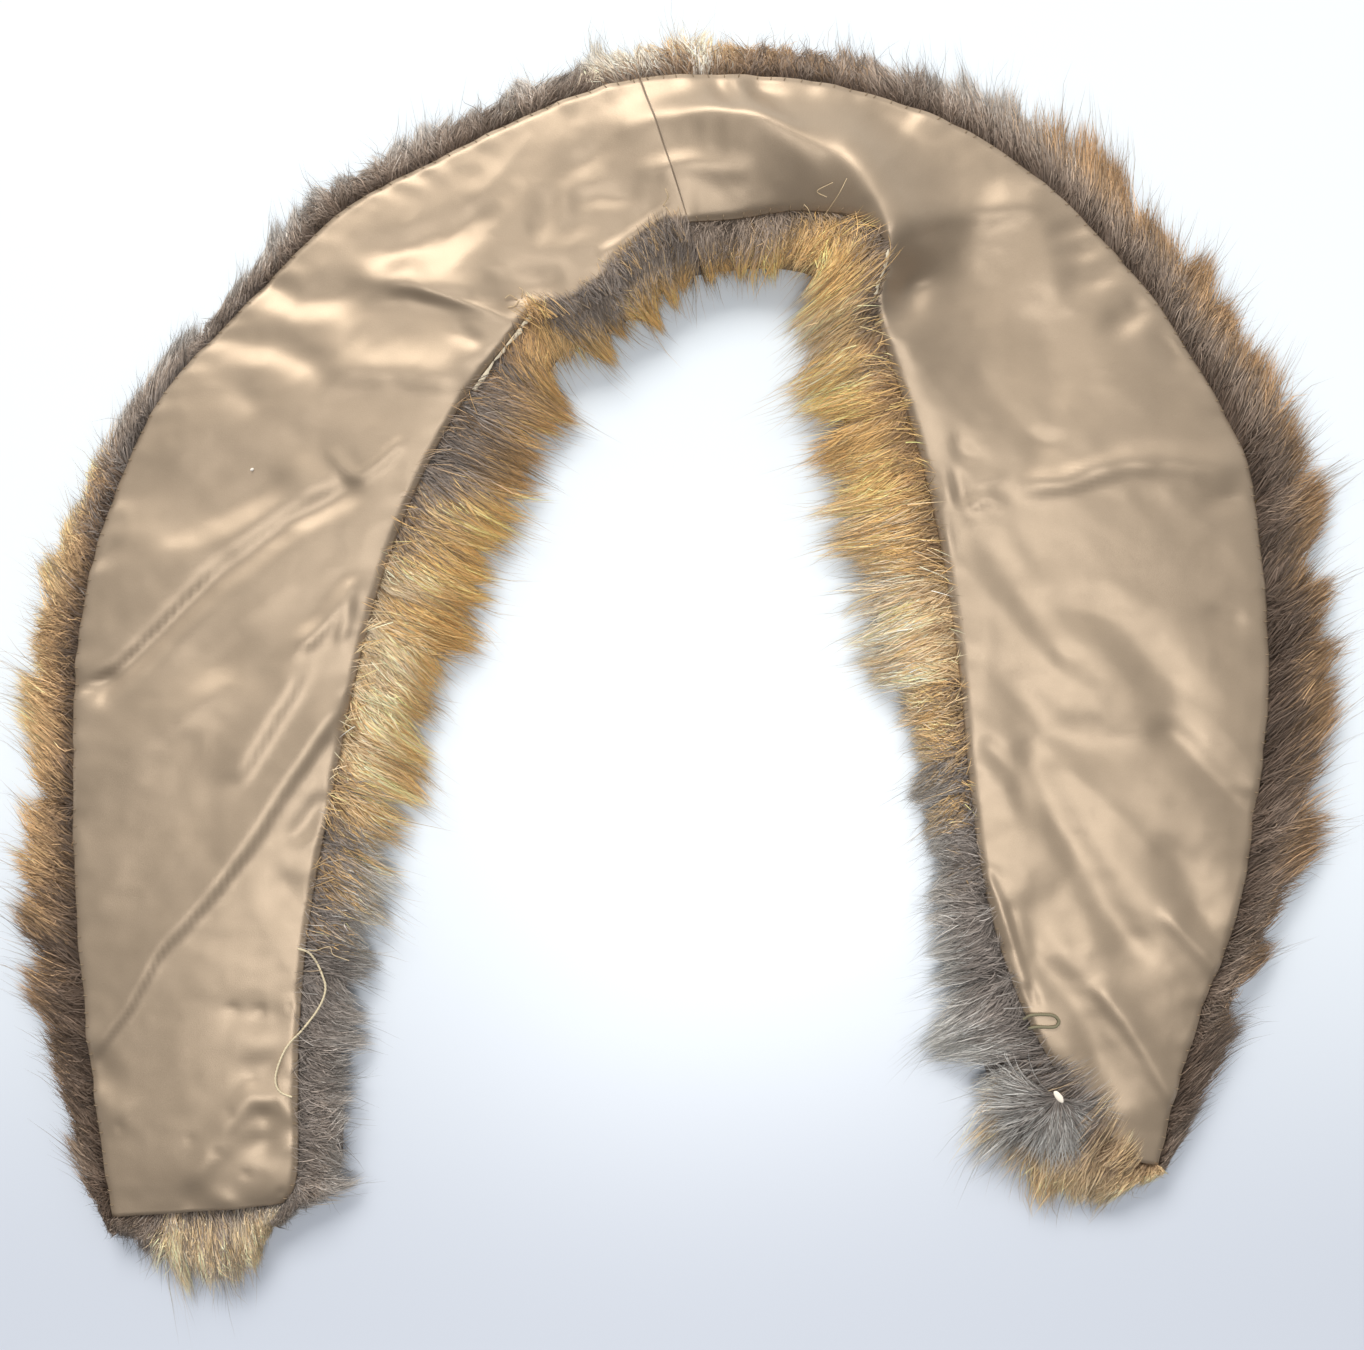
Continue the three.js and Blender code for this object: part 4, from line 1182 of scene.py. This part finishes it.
def makePeltEdge(name, firstPlace, endPlace, node):
    places = np.linspace(firstPlace, endPlace, 90)
    rows = rowsAt(places)
    edge = np.stack([rows["innerX"], rows["innerY"], rows["innerHeight"]], axis=1)
    tip = np.stack([rows["innerTipX"], rows["innerTipY"]], axis=1)
    reach = np.hypot(*(tip - edge[:, :2]).T)
    width = peltEdge["width"] * (0.75 + 0.25 * softWave(places * 9, 41) + 0.25 * softWave(places * 31, 42))
    angles = np.linspace(0, 2 * np.pi, 12, endpoint=False)
    rings = []
    for angle in angles:
        distance = peltEdge["start"] + width / 2 * (1 + np.cos(angle))
        lift = peltEdge["thickness"] / 2 * (1 + np.sin(angle) * (1 + 0.2 * softWave(places * 14, 43)))
        flat = mix(edge[:, :2], tip, (distance / reach)[:, None])
        slope = 0.09 * distance / reach * edge[:, 2]
        z = edge[:, 2] - peltEdge["drop"] + peltEdge["rise"] + lift - slope
        rings.append(np.concatenate([flat, z[:, None]], axis=1))
    piece = loft(name, np.stack(rings, axis=1))
    dress(piece, peltMaterial, "pelt", node)


peltMaterial, _, _ = newMaterial("barePelt", peltEdge["colour"], 0.8, 0.3)
makePeltEdge("peltEdgeLeft", 7.25, 9, "pelt_edge_left")
makePeltEdge("peltEdgeRight", 17, 18, "pelt_edge_right")


# A spot of bare skin in the whorl, and a speck of lint on the left front
def makeSpot(name, places, height, half, turn, colour):
    x, y = fromPicture(*places)
    x, y = x - middle["x"], y - middle["y"]
    z = height or onLining(x, y) + 0.3
    bpy.ops.mesh.primitive_uv_sphere_add(segments=20, ring_count=12, radius=metre,
                                         location=(x * metre, y * metre, z * metre), rotation=(0, 0, turn))
    piece = bpy.context.object
    piece.name = name
    piece.scale = half
    bpy.ops.object.transform_apply(location=True, rotation=True, scale=True)
    bpy.ops.object.shade_smooth()
    material, _, _ = newMaterial(name, colour, 0.75, 0.3)
    dress(piece, material, "pelt")


makeSpot("bareSkin", (whorl["x"], whorl["y"]), whorl["height"], whorl["skin"], whorl["turn"], (252, 240, 222))
makeSpot("lintSpeck", (253, 470), 0, (0.9, 0.7, 0.5), 0.4, (240, 232, 218))


# Hook, a wire wound with thread and sewn to the right front
hook = {"wire": 1.4, "sides": 12, "steps": 330, "pitch": 0.9, "depth": 0.07, "colour": (126, 119, 94)}
hookRoute = [
    (153.5, -155, 21.6), (157, -152.9, 22.4), (164.9, -152.6, 23), (168, -153.7, 23),
    (169.2, -156, 22.9), (167, -158.1, 22.9), (159.5, -158.2, 22.4), (155.5, -159, 21.8),
]


def makeHook():
    route, length = smoothRoute(hookRoute, hook["steps"])
    radius = twisted(hook["steps"], hook["sides"], hook["wire"] / 2, length,
                     hook["pitch"], hook["depth"], 1, 7)
    piece = loft("hookEye", ringsAlong(route, radius))
    material, _, _ = newMaterial("hookThread", hook["colour"], 0.65, 0.3)
    dress(piece, material, "hook_thread", "hook_eye")


makeHook()
print("stage: pelt edges and hook")


# Slip stitches that fell the lining to the pelt, all round
stitch = {"pitch": 7, "length": 1.9, "radius": 0.17, "colour": (158, 138, 112)}


def stitchesAlong(side, seed):
    fine = np.linspace(0.05, lastPlace - 0.05, 3000)
    rows = rowsAt(fine)
    along = lengthAlong(rows[side + "X"], rows[side + "Y"])
    count = int(along[-1] / stitch["pitch"])
    number = np.arange(count)
    spots = (number + 0.5 + 0.5 * (chance(number, seed) - 0.5)) * stitch["pitch"]
    places = np.interp(spots, along, fine)
    rows = rowsAt(places)
    edge = np.stack([rows[side + "X"], rows[side + "Y"]], axis=1)
    other = "outer" if side == "inner" else "inner"
    inward = np.stack([rows[other + "X"], rows[other + "Y"]], axis=1) - edge
    inward /= np.hypot(*inward.T)[:, None]
    slant = 0.5 * (chance(number, seed + 1) - 0.5)[:, None] * np.stack([-inward[:, 1], inward[:, 0]], axis=1)
    bodies = []
    for spot, ahead in zip(edge, inward + slant):
        start, end = spot - 0.3 * ahead, spot + stitch["length"] * ahead
        top = onLining(*end)
        route = np.array([(*start, top - 1.5), (*mix(start, end, 0.35), top - 0.2),
                          (*mix(start, end, 0.7), top + 0.2), (*end, top - 0.1)])
        bodies.append(ringsAlong(route, np.full((4, 4), stitch["radius"])))
    return bodies


def makeStitches():
    piece = loft("fellingStitches", *stitchesAlong("inner", 51), *stitchesAlong("outer", 53))
    material, _, _ = newMaterial("fellingThread", stitch["colour"], 0.6, 0.3)
    dress(piece, material, "satin")
    print("stage: stitches,", len(piece.data.polygons), "faces")


makeStitches()

# Ends of thread left on the lining, by picture places and their rise over the cloth
looseThread = {"radius": 0.2, "colour": (214, 190, 150), "steps": 26}
looseRoutes = [
    [(306, 949, 0.5), (314, 951, 0.9), (329, 947, 0.6), (333, 955, 0.5), (349, 961, 0.6)],
    [(833, 182, 0.5), (817, 192, 2.5), (827, 197, 0.8)],
    [(847, 178, 0.6), (838, 196, 2.8), (824, 216, 0.8)],
    [(804, 204, 0.6), (808, 209, 1.2), (813, 220, 0.6)],
    [(517, 299, 0.4), (510, 295, 1.2), (505, 298, 0.8)],
    [(519, 300, 0.4), (514, 306, 1.4), (508, 307, 0.7)],
    [(521, 297, 0.4), (523, 291, 1.6), (519, 287, 0.8)],
    [(663, 205, 0.4), (668, 197, 1.4), (665, 188, 0.5)],
    [(612, 262, 0.4), (604, 262, 1.2), (598, 258, 0.5)],
]


def makeLooseThreads():
    bodies = []
    for places in looseRoutes:
        route = []
        for placeX, placeY, rise in places:
            x, y = fromPicture(placeX, placeY)
            top = onLining(x - middle["x"], y - middle["y"])
            nearer = (camera["height"] - top) / (camera["height"] - restHeight)
            route.append((x * nearer, y * nearer, top + rise))
        line, _ = smoothRoute(route, looseThread["steps"])
        bodies.append(ringsAlong(line, np.full((len(line), 5), looseThread["radius"])))
    piece = loft("looseThreads", *bodies)
    material, _, _ = newMaterial("looseThread", looseThread["colour"], 0.6, 0.3)
    dress(piece, material, "satin")


makeLooseThreads()

sizes["dressed"] = [list(corner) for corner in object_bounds()]
